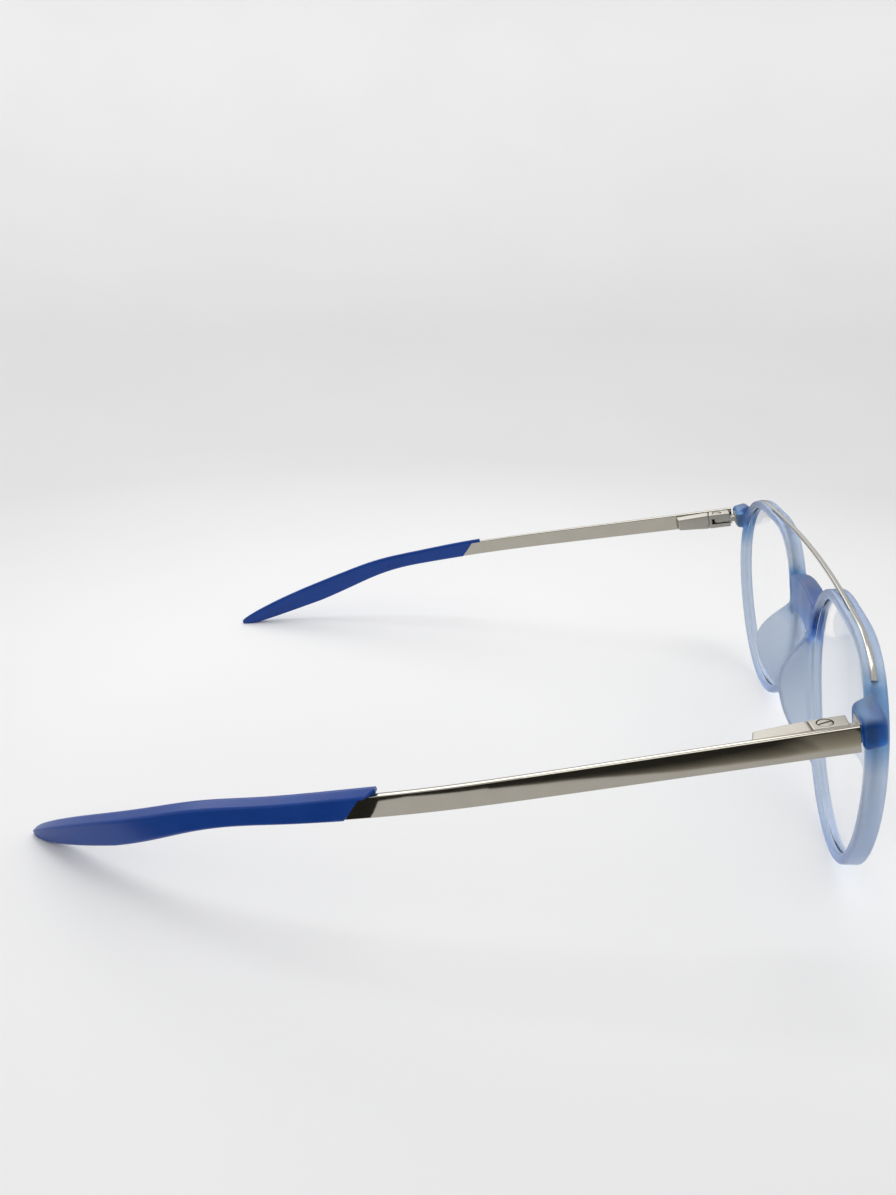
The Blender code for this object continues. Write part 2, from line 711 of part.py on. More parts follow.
def make_slider(name, side, hinge):
    """Two leaves with a slot for the front's tongue, and a rod that runs back into the box."""
    half = BOX_WIDTH / 2
    high = BOX_HEIGHT / 2
    block = box(name, (-half, SLIDER_FRONT, -high), (half, SLIDER_REAR, high))
    for vertex in block.vertices:
        if vertex.co.y < 0:
            vertex.co.y += (side * vertex.co.x - half) * math.tan(TEMPLE_SPLAY)
    slider = put(name, block, hinge, SATIN_NICKEL)
    soften(slider, BOX_ROUNDING)
    rod = cylinder(name + "_rod", ROD_RADIUS, (0, SLIDER_REAR - 0.5 * MM, 0), (0, ROD_END, 0), 16)
    boolean(slider, put(name + "_rod", rod, hinge), "UNION")
    slot_half = TONGUE_HEIGHT / 2 + HINGE_GAP
    slot = box(name + "_slot", (-3 * half, SLIDER_FRONT - MM, -slot_half),
               (3 * half, TONGUE_RADIUS + 0.25 * MM, slot_half))
    bore = cylinder(name + "_bore", SCREW_RADIUS + HINGE_GAP, (0, 0, -2 * high), (0, 0, 2 * high))
    seat = cylinder(name + "_seat", HEAD_RADIUS + HINGE_GAP, (0, 0, high - HEAD_HEIGHT - HINGE_GAP),
                    (0, 0, 2 * high))
    for suffix, mesh in (("_slot", slot), ("_bore", bore), ("_seat", seat)):
        boolean(slider, put(name + suffix, mesh, hinge), "DIFFERENCE")
    return slider


def make_leaf(name, side, hinge):
    """An anchor block let into the lug, flush with its rear face, and a bored tongue."""
    anchor = box(name, (ANCHOR_INNER, LUG_REAR - ANCHOR_DEPTH, -ANCHOR_HALF_HEIGHT),
                 (ANCHOR_OUTER, LUG_REAR, ANCHOR_HALF_HEIGHT))
    for vertex in anchor.vertices:
        if vertex.co.y > LUG_REAR - MM:
            vertex.co.y += rear_face_shift(vertex.co.x)
        vertex.co.x *= side
    leaf = put(name, anchor, hinge, SATIN_NICKEL)
    tongue = box(name + "_tongue", (-TONGUE_RADIUS, LUG_REAR - MM, -TONGUE_HEIGHT / 2),
                 (TONGUE_RADIUS, 0, TONGUE_HEIGHT / 2))
    knuckle = cylinder(name + "_knuckle", TONGUE_RADIUS, (0, 0, -TONGUE_HEIGHT / 2),
                       (0, 0, TONGUE_HEIGHT / 2))
    for suffix, mesh in (("_tongue", tongue), ("_knuckle", knuckle)):
        boolean(leaf, put(name + suffix, mesh, hinge), "UNION")
    bore = cylinder(name + "_bore", SCREW_RADIUS + HINGE_GAP, (0, 0, -2 * MM), (0, 0, 2 * MM))
    boolean(leaf, put(name + "_bore", bore, hinge), "DIFFERENCE")
    return leaf


def make_screw(name, side, hinge):
    """A turned screw with a low slotted head let into the upper leaf."""
    top = BOX_HEIGHT / 2
    under_head = top - HEAD_HEIGHT
    low = -BOX_HEIGHT / 2 + 0.1 * MM
    profile = [(0.0, top), (HEAD_RADIUS - 0.1 * MM, top), (HEAD_RADIUS, top - 0.1 * MM),
               (HEAD_RADIUS, under_head), (SCREW_RADIUS, under_head), (SCREW_RADIUS, low), (0.0, low)]
    shape = bmesh.new()
    dots = [shape.verts.new((radius, 0.0, height)) for radius, height in profile]
    for dot, following in zip(dots, dots[1:]):
        shape.edges.new((dot, following))
    bmesh.ops.spin(shape, geom=shape.verts[:] + shape.edges[:], cent=(0, 0, 0), axis=(0, 0, 1),
                   angle=math.tau, steps=ROUND_SIDES, use_merge=True)
    mesh = bpy.data.meshes.new(name)
    shape.to_mesh(mesh)
    shape.free()
    screw = put(name, mesh, hinge, SATIN_NICKEL)
    slot = box(name + "_slot", (-2 * HEAD_RADIUS, -SLOT_WIDTH / 2, top - SLOT_DEPTH),
               (2 * HEAD_RADIUS, SLOT_WIDTH / 2, top + MM))
    slot.transform(Matrix.Rotation(math.radians(75.0) * side, 4, "Z"))
    boolean(screw, put(name + "_slot", slot, hinge), "DIFFERENCE")
    return screw


def ring_piece(name, hinge, outer, inner, start, end):
    """A round bush with a bore, lying along the rod."""
    bush = put(name, cylinder(name, outer, (0, start, 0), (0, end, 0)), hinge, SATIN_NICKEL)
    bore = cylinder(name + "_bore", inner, (0, start - MM, 0), (0, end + MM, 0), 16)
    boolean(bush, put(name + "_bore", bore, hinge), "DIFFERENCE")
    return bush


def spring_points(start, end):
    """A helix with an even pitch along the rod, whose ends run straight out to what they press on."""
    count = SPRING_TURNS * SPRING_STEPS
    first = start + 2 * SPRING_WIRE
    last = end - 2 * SPRING_WIRE
    points = [Vector((SPRING_RADIUS, start, 0.0))]
    for step in range(count + 1):
        angle = math.tau * step / SPRING_STEPS
        along = first + (last - first) * step / count
        points.append(Vector((SPRING_RADIUS * math.cos(angle), along, SPRING_RADIUS * math.sin(angle))))
    points.append(Vector((SPRING_RADIUS, end, 0.0)))
    return points


def make_spring(name, hinge, start, end):
    points = spring_points(start, end)
    apart = [(a - b).length for i, a in enumerate(points) for b in points[i + SPRING_STEPS - 2:]]
    print(name, "least gap between turns", round((min(apart) - 2 * SPRING_WIRE) / MM, 3), "mm")
    curve = bpy.data.curves.new(name, "CURVE")
    curve.dimensions = "3D"
    curve.bevel_depth = SPRING_WIRE
    curve.bevel_resolution = 1
    curve.use_fill_caps = True
    spline = curve.splines.new("POLY")
    spline.points.add(len(points) - 1)
    for place, point in zip(spline.points, points):
        place.co = (*point, 1.0)
    wire = bpy.data.objects.new(name + "_wire", curve)
    CUTTERS.objects.link(wire)
    return put(name, curve_to_mesh(wire, name), hinge, SPRING_STEEL)


def make_temple(name, side):
    temple = TEMPLES[name]
    hinge = PINS[name]
    inside = BOX_WIDTH / 2 - BOX_WALL - HINGE_GAP
    collar_start = BOX_FRONT + 0.2 * MM
    stop_start = ROD_END - STOP_LENGTH - 0.3 * MM
    make_leaf("hinge_leaf_" + name, side, hinge)
    make_screw("hinge_screw_" + name, side, hinge)
    make_slider("hinge_slider_" + name, side, hinge)
    ring_piece("spring_collar_" + name, hinge, inside, ROD_RADIUS + HINGE_GAP, collar_start,
               collar_start + COLLAR_LENGTH)
    ring_piece("spring_stop_" + name, hinge, inside - 0.1 * MM, ROD_RADIUS + 0.05 * MM, stop_start,
               stop_start + STOP_LENGTH)
    make_spring("hinge_spring_" + name, hinge, collar_start + COLLAR_LENGTH + HINGE_GAP,
                stop_start - HINGE_GAP)
    make_box_housing("spring_housing_" + name, side, hinge)
    make_arm("temple_arm_" + name, side, temple)
    make_tip("temple_tip_" + name, side, temple)


def front_matrix():
    """Stands the tilted front on its rims' lower rear edges."""
    foot = opening_radius(-math.pi / 2) + RIM_WIDTH
    rear = RIM_DEPTH + OPENING_CENTRE ** 2 / (2 * FRONT_BOW_RADIUS)
    height = foot * math.cos(FRONT_TILT) + (rear - RIM_ROUNDING) * math.sin(FRONT_TILT)
    place = Matrix.Translation((0.0, HINGE_Y + FRONT_BEHIND_HINGE, height))
    return place @ Matrix.Rotation(-FRONT_TILT, 4, "X")


def temple_matrix(side):
    """Where a temple's path starts, on its hinge pin, with +Y along the temple."""
    place = Matrix.Translation((side * HINGE_X, HINGE_Y, HINGE_HEIGHT))
    return place @ Matrix.Rotation(-TEMPLE_SLOPE, 4, "X") @ Matrix.Rotation(-side * TEMPLE_SPLAY, 4, "Z")


def pin_matrix(name, side):
    """The temple's frame, leaned about its length so that +Z is the hinge pin."""
    return temple_matrix(side) @ Matrix.Rotation(-side * PIN_LEAN[name], 4, "Y")


clear_scene()
PARTS = new_collection("eyeglasses")
CUTTERS = new_collection("cutters")
FROSTED_BLUE = new_material("frosted_blue", (0.30, 0.40, 0.60), 0.45, transmission=0.6)
MATT_BLUE = new_material("matt_blue", (0.02, 0.06, 0.22), 0.5)
SATIN_NICKEL = new_material("satin_nickel", (0.62, 0.60, 0.54), 0.3, metallic=1.0)
SPRING_STEEL = new_material("spring_steel", (0.45, 0.45, 0.46), 0.3, metallic=1.0)
CLEAR_LENS = new_material("clear_lens", (0.95, 0.96, 0.97), 0.03, transmission=1.0)
FRONT = new_empty("front_axes", front_matrix())
TEMPLES = {name: new_empty("temple_axes_" + name, temple_matrix(side)) for name, side in SIDES.items()}
PINS = {name: new_empty("hinge_pin_" + name, pin_matrix(name, side)) for name, side in SIDES.items()}
TABLE = put("table", box("table", (-0.2, -0.2, -0.05), (0.2, 0.2, 0.0)), None)
PATH = temple_path()
bpy.context.view_layer.update()

make_front()
bar = sweep("brow_bar", bar_path(0.0), bar_profile(0.0), False)
put("brow_bar", bar, FRONT, SATIN_NICKEL)
for side_name, side_sign in SIDES.items():
    make_lens("lens_" + side_name, side_sign)
    make_temple(side_name, side_sign)
bpy.context.view_layer.update()
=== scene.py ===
# %% [markdown]
# # Eyeglasses, piece by piece
# This lesson dresses a finished construction of a pair of eyeglasses: a frosted blue front, a thin metal
# brow bar, two clear lenses and two sprung metal temples with blue tips. The construction comes in as a
# fixed frame. Every cell below makes one piece or one finish and puts it where the frame says.

import json
import math

import bmesh
import bpy
from mathutils import Matrix, Vector


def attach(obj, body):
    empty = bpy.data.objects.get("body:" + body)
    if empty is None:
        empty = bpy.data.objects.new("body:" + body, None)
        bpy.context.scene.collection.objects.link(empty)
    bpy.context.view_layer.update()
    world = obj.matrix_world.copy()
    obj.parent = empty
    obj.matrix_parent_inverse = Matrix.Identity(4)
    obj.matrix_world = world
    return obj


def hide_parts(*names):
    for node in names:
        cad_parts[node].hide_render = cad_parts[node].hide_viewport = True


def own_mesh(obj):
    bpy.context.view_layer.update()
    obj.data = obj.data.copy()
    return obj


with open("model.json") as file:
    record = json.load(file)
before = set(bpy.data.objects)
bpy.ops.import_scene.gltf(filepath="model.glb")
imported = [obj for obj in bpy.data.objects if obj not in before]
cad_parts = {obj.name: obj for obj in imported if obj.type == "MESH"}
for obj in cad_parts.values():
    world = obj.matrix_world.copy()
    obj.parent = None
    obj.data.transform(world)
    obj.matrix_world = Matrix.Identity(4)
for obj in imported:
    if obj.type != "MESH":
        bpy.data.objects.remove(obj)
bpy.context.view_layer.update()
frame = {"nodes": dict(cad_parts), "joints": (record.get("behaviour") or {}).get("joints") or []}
MM = 0.001
SIDES = {"right": -1.0, "left": 1.0}

# %% [markdown]
# ## The camera
# The picture was taken from the wearer's right, a little above the temples, with a lens as wide as a
# phone's. Its place and direction were fitted to edges of the object, so they are given as numbers.
# Blender measures the sensor along the picture's longer side, which here is its height: 1195 pixels beside
# a width of 896.

# %% Camera
PICTURE_HEIGHT = 1195
FOCAL_PIXELS = 883.3
eye = Vector((-182.36, -23.33, 99.98)) * MM
heading = math.radians(8.68)
pitch = math.radians(-20.264)
sight = Vector((math.cos(pitch) * math.cos(heading), math.cos(pitch) * math.sin(heading), math.sin(pitch)))
camera = bpy.data.objects.new("camera", bpy.data.cameras.new("camera"))
bpy.context.scene.collection.objects.link(camera)
camera.location = eye
camera.rotation_euler = sight.to_track_quat("-Z", "Y").to_euler()
camera.data.lens = camera.data.sensor_width * FOCAL_PIXELS / PICTURE_HEIGHT
camera.data.clip_start = MM
bpy.context.scene.camera = camera
print("camera", round(eye.length / MM), "mm from the origin, lens", round(camera.data.lens, 2), "mm")

# %% [markdown]
# ## Material helpers
# A finish is a small tree of nodes, and most trees start the same way. The helpers below add a node and set
# its sockets, make a noise in the piece's own coordinates, and turn a noise into a number, a colour or a
# bump. Writing them once keeps the cells short, and every finish gets its detail in real millimetres.


# %% Node helpers
def add_node(tree, kind, settings=None, **sockets):
    """Adds a node; settings are its properties and sockets its inputs, by name with _ for a space."""
    node = tree.nodes.new(kind)
    for name, value in (settings or {}).items():
        setattr(node, name, value)
    for name, value in sockets.items():
        node.inputs[name.replace("_", " ")].default_value = value
    return node


def new_finish(name):
    """A material whose tree holds only its output and one Principled shader."""
    finish = bpy.data.materials.new(name)
    finish.use_nodes = True
    tree = finish.node_tree
    return finish, tree, tree.nodes["Principled BSDF"]


def object_noise(tree, scale, stretch=(1.0, 1.0, 1.0), detail=3.0, attribute=""):
    """Noise in the piece's own metres; scale is in waves a metre and stretch lengthens them.

    With an attribute named, the noise follows that instead of the piece's coordinates."""
    if attribute:
        place = add_node(tree, "ShaderNodeAttribute", {"attribute_name": attribute}).outputs["Vector"]
    else:
        place = add_node(tree, "ShaderNodeTexCoord").outputs["Object"]
    mapping = add_node(tree, "ShaderNodeMapping", Scale=tuple(1.0 / s for s in stretch))
    noise = add_node(tree, "ShaderNodeTexNoise", Scale=scale, Detail=detail)
    tree.links.new(place, mapping.inputs["Vector"])
    tree.links.new(mapping.outputs["Vector"], noise.inputs["Vector"])
    return noise.outputs["Fac"]


def between(tree, fac, low, high, start=0.3, end=0.7):
    """A number that runs from low to high as a noise goes from start to end."""
    ramp = add_node(tree, "ShaderNodeMapRange", To_Min=low, To_Max=high, From_Min=start, From_Max=end)
    tree.links.new(fac, ramp.inputs["Value"])
    return ramp.outputs["Result"]


def colour_steps(tree, fac, steps):
    """A colour that changes with a number, through steps of (number, colour)."""
    ramp = add_node(tree, "ShaderNodeValToRGB")
    stops = ramp.color_ramp.elements
    while len(stops) < len(steps):
        stops.new(1.0)
    for stop, (position, colour) in zip(stops, steps):
        stop.position = position
        stop.color = (*colour, 1.0)
    tree.links.new(fac, ramp.inputs["Fac"])
    return ramp.outputs["Color"]


def colour_between(tree, fac, low, high):
    """A colour that runs from low to high as a noise goes through its middle range."""
    return colour_steps(tree, fac, [(0.3, low), (0.7, high)])


def multiplied(tree, first, second):
    """One colour shaded by another."""
    both = add_node(tree, "ShaderNodeMix", {"data_type": "RGBA", "blend_type": "MULTIPLY"})
    both.inputs["Factor"].default_value = 1.0
    tree.links.new(first, both.inputs["A"])
    tree.links.new(second, both.inputs["B"])
    return both.outputs["Result"]


def object_ramp(tree, axis, start, end):
    """A number that runs from 0 to 1 between two places on one of the piece's own axes."""
    place = add_node(tree, "ShaderNodeTexCoord")
    parts = add_node(tree, "ShaderNodeSeparateXYZ")
    tree.links.new(place.outputs["Object"], parts.inputs["Vector"])
    return between(tree, parts.outputs[axis], 0.0, 1.0, start, end)


def bump(tree, shader, fac, height, strength):
    """Raises a surface by a noise, as far as a height in metres."""
    node = add_node(tree, "ShaderNodeBump", Distance=height, Strength=strength)
    tree.links.new(fac, node.inputs["Height"])
    tree.links.new(node.outputs["Normal"], shader.inputs["Normal"])


print("helpers ready")

# %% [markdown]
# ## The studio floor
# The glasses stand on a pale sheet of paper. A flat plane would show a horizon, so this one curves up all
# round, like a wide bowl: a section is drawn once and spun about the middle. Shade is painted into the
# paper's colour: it greys out to the foot of the curve, where less light falls, and lightens again up the
# wall, and a painted shadow greys it on the camera's side.

# %% Studio floor
FLOOR_RADIUS = 0.25
FLOOR_STEPS = 6
BOWL_RADIUS = 0.9
BOWL_RISE = math.radians(62.0)
BOWL_STEPS = 20
SHEET_TURNS = 96
SHEET_WELD = 1e-5


def floor_profile():
    """The sheet's section: flat, then a curve up to a slanted rim."""
    points = [(FLOOR_RADIUS * step / FLOOR_STEPS, 0.0) for step in range(FLOOR_STEPS + 1)]
    for step in range(1, BOWL_STEPS + 1):
        angle = BOWL_RISE * step / BOWL_STEPS
        points.append((FLOOR_RADIUS + BOWL_RADIUS * math.sin(angle), BOWL_RADIUS * (1 - math.cos(angle))))
    return points


def spin_outline(shape, outline, turns):
    """Draws an outline of (radius, height) and spins it about the Z axis."""
    dots = [shape.verts.new((radius, 0.0, height)) for radius, height in outline]
    for dot, following in zip(dots, dots[1:]):
        shape.edges.new((dot, following))
    bmesh.ops.spin(shape, geom=shape.verts[:] + shape.edges[:], cent=(0, 0, 0), axis=(0, 0, 1),
                   angle=math.tau, steps=turns, use_merge=True)


def make_sheet():
    """The spun section as a smooth mesh that faces inwards and up."""
    shape = bmesh.new()
    spin_outline(shape, floor_profile(), SHEET_TURNS)
    bmesh.ops.remove_doubles(shape, verts=shape.verts, dist=SHEET_WELD)
    bmesh.ops.recalc_face_normals(shape, faces=shape.faces)
    bmesh.ops.reverse_faces(shape, faces=shape.faces)
    mesh = bpy.data.meshes.new("sheet")
    shape.to_mesh(mesh)
    shape.free()
    mesh.shade_smooth()
    return mesh


SHEET_REACH = 1.2
# painted shadow: the paper greys towards the camera's side between these two places along X
NEAR_SHADOW_START = -0.1275
NEAR_SHADOW_END = 0.0975
NEAR_SHADOW_GREY = 0.965
# painted shade: how grey the paper is at each distance from the middle
PAINTED_FLOOR_SHADE = [(0.09, 1.0), (0.30, 0.79), (0.56, 0.765), (1.0, 0.95), (1.06, 0.95), (1.15, 0.80)]


def paper_finish():
    """Pale paper with painted shade: greyer round the foot of its curve, and a painted shadow on the camera's
    side.
    """
    finish, tree, shader = new_finish("pale_paper")
    shader.inputs["Roughness"].default_value = 0.9
    shader.inputs["Specular IOR Level"].default_value = 0.1
    clouds = object_noise(tree, scale=9.0)
    tint = colour_between(tree, clouds, low=(0.865, 0.865, 0.868), high=(0.885, 0.885, 0.887))
    reach = add_node(tree, "ShaderNodeVectorMath", {"operation": "LENGTH"})
    tree.links.new(add_node(tree, "ShaderNodeTexCoord").outputs["Object"], reach.inputs[0])
    share = between(tree, reach.outputs["Value"], 0.0, 1.0, 0.0, SHEET_REACH)
    # painted shade: greyer out to the foot of the curve, lighter again up the wall
    painted_far_shade = colour_steps(tree, share, [(r / SHEET_REACH, (grey,) * 3) for r, grey in PAINTED_FLOOR_SHADE])
    # painted shadow: a shade greyer on the camera's side
    near_shadow_share = object_ramp(tree, "X", NEAR_SHADOW_START, NEAR_SHADOW_END)
    painted_near_shadow = colour_between(tree, near_shadow_share, low=(NEAR_SHADOW_GREY,) * 3, high=(1.0,) * 3)
    shaded = multiplied(tree, multiplied(tree, tint, painted_far_shade), painted_near_shadow)
    tree.links.new(shaded, shader.inputs["Base Color"])
    return finish


floor = bpy.data.objects.new("floor", make_sheet())
floor.data.materials.append(paper_finish())
bpy.context.scene.collection.objects.link(floor)
print("floor sheet", len(floor.data.polygons), "faces")

# %% [markdown]
# ## The lamps
# Three plain lights are enough. A soft lamp overhead gives the faint shadows and the world fills them. A
# long softbox, like a window on the far side, puts the shine on everything that faces up.


# %% Lamps
def add_lamp(name, place, width, height, power):
    """A soft rectangular lamp that looks at the origin and isn't itself in the picture."""
    lamp = bpy.data.lights.new(name, "AREA")
    lamp.shape = "RECTANGLE"
    lamp.size = width
    lamp.size_y = height
    lamp.energy = power
    holder = bpy.data.objects.new(name, lamp)
    bpy.context.scene.collection.objects.link(holder)
    holder.location = place
    holder.rotation_euler = (-Vector(place)).to_track_quat("-Z", "Y").to_euler()
    holder.visible_camera = False


WORLD_LEVEL = 0.72
KEY_POWER = 2.4
WINDOW_POWER = 7.0
add_lamp("key_lamp", place=(0.28, 0.05, 1.05), width=0.5, height=0.5, power=KEY_POWER)
add_lamp("window", place=(1.02, 0.60, 0.80), width=1.6, height=0.6, power=WINDOW_POWER)
world = bpy.data.worlds.new("studio")
bpy.context.scene.world = world
world.use_nodes = True
sky = world.node_tree.nodes["Background"]
sky.inputs["Color"].default_value = (1.0, 1.0, 1.0, 1.0)
sky.inputs["Strength"].default_value = WORLD_LEVEL
bpy.context.scene.view_settings.view_transform = "Standard"
print("lamps", KEY_POWER, "and", WINDOW_POWER, "W, world", WORLD_LEVEL)

# %% [markdown]
# ## Dark cards for the metal
# Polished metal shows what stands around it, so in a bright empty studio it would look like white paper.
# Photographers lay out dark cards. Here one lies on the table on the camera's side and draws the dark band
# along the near arm. A strip along its edge fades it out, one stands behind the camera, and one lies far
# off. Only reflections see them.

# %% Dark cards
CARD_CLOUDS = 30.0
CARD_TONE = (1.05, 1.0, 0.86)
DARK_STEPS = [(0.3, 0.030), (0.7, 0.034)]
FADE_STEPS = [(0.0, 0.045), (0.25, 0.09), (0.5, 0.17), (0.75, 0.26), (0.9, 0.40), (1.0, 0.60)]


def card_colour(level):
    """A slightly warm grey."""
    return tuple(level * part for part in CARD_TONE)


def stage_card(name, shape, finish):
    """Puts a card where only reflections see it."""
    mesh = bpy.data.meshes.new(name)
    shape.to_mesh(mesh)
    shape.free()
    mesh.materials.append(finish)
    card = bpy.data.objects.new(name, mesh)
    bpy.context.scene.collection.objects.link(card)
    card.visible_camera = False
    card.visible_diffuse = False
    card.visible_transmission = False
    card.visible_shadow = False


def plain_card(corners):
    """One flat face."""
    shape = bmesh.new()
    shape.faces.new([shape.verts.new(corner) for corner in corners])
    return shape


def fading_strip(dark_row, pale_row):
    """A strip between two rows of corners; each corner knows how far it has faded."""
    shape = bmesh.new()
    fade = shape.verts.layers.float.new("fade")
    rows = [[shape.verts.new(corner) for corner in row] for row in (dark_row, pale_row)]
    for corner in rows[1]:
        corner[fade] = 1.0
    for i in range(len(dark_row) - 1):
        shape.faces.new((rows[0][i], rows[1][i], rows[1][i + 1], rows[0][i + 1]))
    return shape


def card_finish(name, steps, attribute=""):
    """Dull card, faintly clouded, or shaded along an attribute of its corners."""
    finish, tree, shader = new_finish(name)
    shader.inputs["Roughness"].default_value = 0.9
    shader.inputs["Specular IOR Level"].default_value = 0.0
    if attribute:
        share = add_node(tree, "ShaderNodeAttribute", {"attribute_name": attribute}).outputs["Fac"]
    else:
        share = object_noise(tree, CARD_CLOUDS)
    tint = colour_steps(tree, share, [(place, card_colour(level)) for place, level in steps])
    tree.links.new(tint, shader.inputs["Base Color"])
    return finish


dark_card = card_finish("dark_card", DARK_STEPS)
fading_card = card_finish("fading_card", FADE_STEPS, "fade")
outer_edge = [(-0.28, -0.15), (-0.28, 0.12), (-0.085, 0.12), (-0.072, 0.08), (-0.070, 0.016), (-0.104, 0.013),
              (-0.1075, 0.006)]
dark_side = [(-0.1135, -0.015), (-0.1175, -0.035), (-0.1230, -0.060), (-0.1265, -0.072), (-0.1300, -0.083),
             (-0.1345, -0.089), (-0.150, -0.094), (-0.20, -0.15)]
pale_side = [(-0.1130, -0.015), (-0.1165, -0.035), (-0.1195, -0.060), (-0.1219, -0.072), (-0.1241, -0.083),
             (-0.1257, -0.089), (-0.1269, -0.094), (-0.140, -0.15)]
panel_edge = [(-0.28, -0.35, 0.0), (-0.60, -0.35, 0.5), (-0.60, 0.35, 0.5), (-0.28, 0.35, 0.0)]
far_edge = [(0.30, -0.35, 0.0), (0.42, -0.35, 0.075), (0.42, 0.35, 0.075), (0.30, 0.35, 0.0)]
near_edge, dark_row, pale_row = ([(x, y, MM) for x, y in row]
                                 for row in (outer_edge + dark_side, dark_side, pale_side))
stage_card("near_card", plain_card(near_edge), dark_card)
stage_card("fade_card", fading_strip(dark_row, pale_row), fading_card)
stage_card("panel_card", plain_card(panel_edge), dark_card)
stage_card("far_card", plain_card(far_edge), dark_card)
print("dark cards laid out")

# %% [markdown]
# ## The frosted blue
# The front is a clear blue plastic with a frosted skin: thin places look pale and thick ones deep blue.
# A volume that absorbs more red than blue gives part of that. It alone would leave the lugs too pale, so a
# tint that deepens around the lugs and the bridge gives the rest. The same tint also paints shade on the rim
# next to each lug.

# %% Frosted blue
# the shoulder point marks painted shade on the rim next to each lug; the other points are thick places
LUG_HEART = (0.0625, -0.0672, 0.0370)
SHOULDER_SHADE_HEART = (0.0600, -0.0678, 0.0395)
BRIDGE_HEART = (0.004, -0.071, 0.036)
CORNER_HEART = (0.0108, -0.0705, 0.0348)
FROSTED_STEPS = [(0.15, (0.88, 0.885, 0.90)), (0.5, (0.20, 0.44, 0.70)), (0.85, (0.0, 0.19, 0.56))]


def near_heart(tree, heart, full, none, peak, rise=1.0):
    """A number that peaks close to a place of the front, a thick one or one with painted shade, on either
    side, and fades out around it.

    A rise above 1 makes it fade sooner upwards and downwards than sideways."""
    place = add_node(tree, "ShaderNodeTexCoord")
    mirrored = add_node(tree, "ShaderNodeVectorMath", {"operation": "ABSOLUTE"})
    tree.links.new(place.outputs["Object"], mirrored.inputs[0])
    whole = add_node(tree, "ShaderNodeVectorMath", {"operation": "MULTIPLY"})
    whole.inputs[1].default_value = (1.0, -1.0, rise)
    tree.links.new(mirrored.outputs["Vector"], whole.inputs[0])
    away = add_node(tree, "ShaderNodeVectorMath", {"operation": "DISTANCE"})
    away.inputs[1].default_value = (heart[0], heart[1], heart[2] * rise)
    tree.links.new(whole.outputs["Vector"], away.inputs[0])
    return between(tree, away.outputs["Value"], peak, 0.0, full, none)


def greater(tree, first, second):
    """The larger of two numbers."""
    node = add_node(tree, "ShaderNodeMath", {"operation": "MAXIMUM"})
    tree.links.new(first, node.inputs[0])
    tree.links.new(second, node.inputs[1])
    return node.outputs["Value"]


def frosted_blue_finish():
    """Rough glass that takes red inside, deep blue at the lugs and the bridge, where it is thickest, and
    painted shade on the rim next to each lug.
    """
    finish, tree, shader = new_finish("frosted_blue")
    shader.inputs["Transmission Weight"].default_value = 0.85
    shader.inputs["IOR"].default_value = 1.45
    frost = between(tree, object_noise(tree, scale=220.0), low=0.40, high=0.50)
    tree.links.new(frost, shader.inputs["Roughness"])
    bridge = near_heart(tree, BRIDGE_HEART, full=0.002, none=0.014, peak=0.5)
    corner = near_heart(tree, CORNER_HEART, full=0.0005, none=0.006, peak=1.0)
    # painted shade: deepens the rim next to each lug
    shoulder = near_heart(tree, SHOULDER_SHADE_HEART, full=0.006, none=0.0125, peak=0.46)
    lug = near_heart(tree, LUG_HEART, full=0.0038, none=0.0062, peak=1.0, rise=1.6)
    depth_and_shade = greater(tree, greater(tree, bridge, corner), greater(tree, shoulder, lug))
    tree.links.new(colour_steps(tree, depth_and_shade, FROSTED_STEPS), shader.inputs["Base Color"])
    bump(tree, shader, object_noise(tree, scale=2600.0, detail=4.0), height=0.02 * MM, strength=0.35)
    inside = add_node(tree, "ShaderNodeVolumeAbsorption", Color=(0.05, 0.40, 0.78, 1.0), Density=300.0)
    tree.links.new(inside.outputs["Volume"], tree.nodes["Material Output"].inputs["Volume"])
    return finish


FROSTED_BLUE = frosted_blue_finish()
print(FROSTED_BLUE.name, len(FROSTED_BLUE.node_tree.nodes), "nodes")

# %% [markdown]
# ## The matt blue
# The tips are a dark blue rubbery plastic. Its skin is a little uneven in tone and in shine, and a very
# fine grain keeps it from looking wet.


# %% Matt blue
def matt_blue_finish():
    """Dark blue plastic with a fine grain."""
    finish, tree, shader = new_finish("matt_blue")
    clouds = object_noise(tree, scale=160.0)
    tint = colour_between(tree, clouds, low=(0.0003, 0.038, 0.240), high=(0.0006, 0.046, 0.270))
    tree.links.new(tint, shader.inputs["Base Color"])
    tree.links.new(between(tree, clouds, low=0.27, high=0.32), shader.inputs["Roughness"])
    shader.inputs["Specular IOR Level"].default_value = 0.33
    bump(tree, shader, object_noise(tree, scale=4200.0), height=0.02 * MM, strength=0.25)
    return finish


MATT_BLUE = matt_blue_finish()
print(MATT_BLUE.name, len(MATT_BLUE.node_tree.nodes), "nodes")

# %% [markdown]
# ## The metals
# Arms, bar and hinges are nickel plated, with very fine lines from polishing. One recipe serves them all:
# the arms are polished almost bright, the bar is satin, the small hinge parts are duller, and the springs
# are bare steel. On the arms the lines follow the strip, so they read an attribute stored along it.


# %% Metals
def nickel_finish(name, pale, deep, smooth, dull, attribute=""):
    """Satin metal with very fine lines, along the piece's Y or along a swept strip's own run."""
    finish, tree, shader = new_finish(name)
    shader.inputs["Metallic"].default_value = 1.0
    lines = object_noise(tree, scale=6000.0, stretch=(1.0, 25.0, 1.0), detail=2.0, attribute=attribute)
    clouds = object_noise(tree, scale=260.0)
    tree.links.new(colour_between(tree, clouds, deep, pale), shader.inputs["Base Color"])
    tree.links.new(between(tree, lines, smooth, dull), shader.inputs["Roughness"])
    bump(tree, shader, lines, height=0.002 * MM, strength=0.04)
    return finish


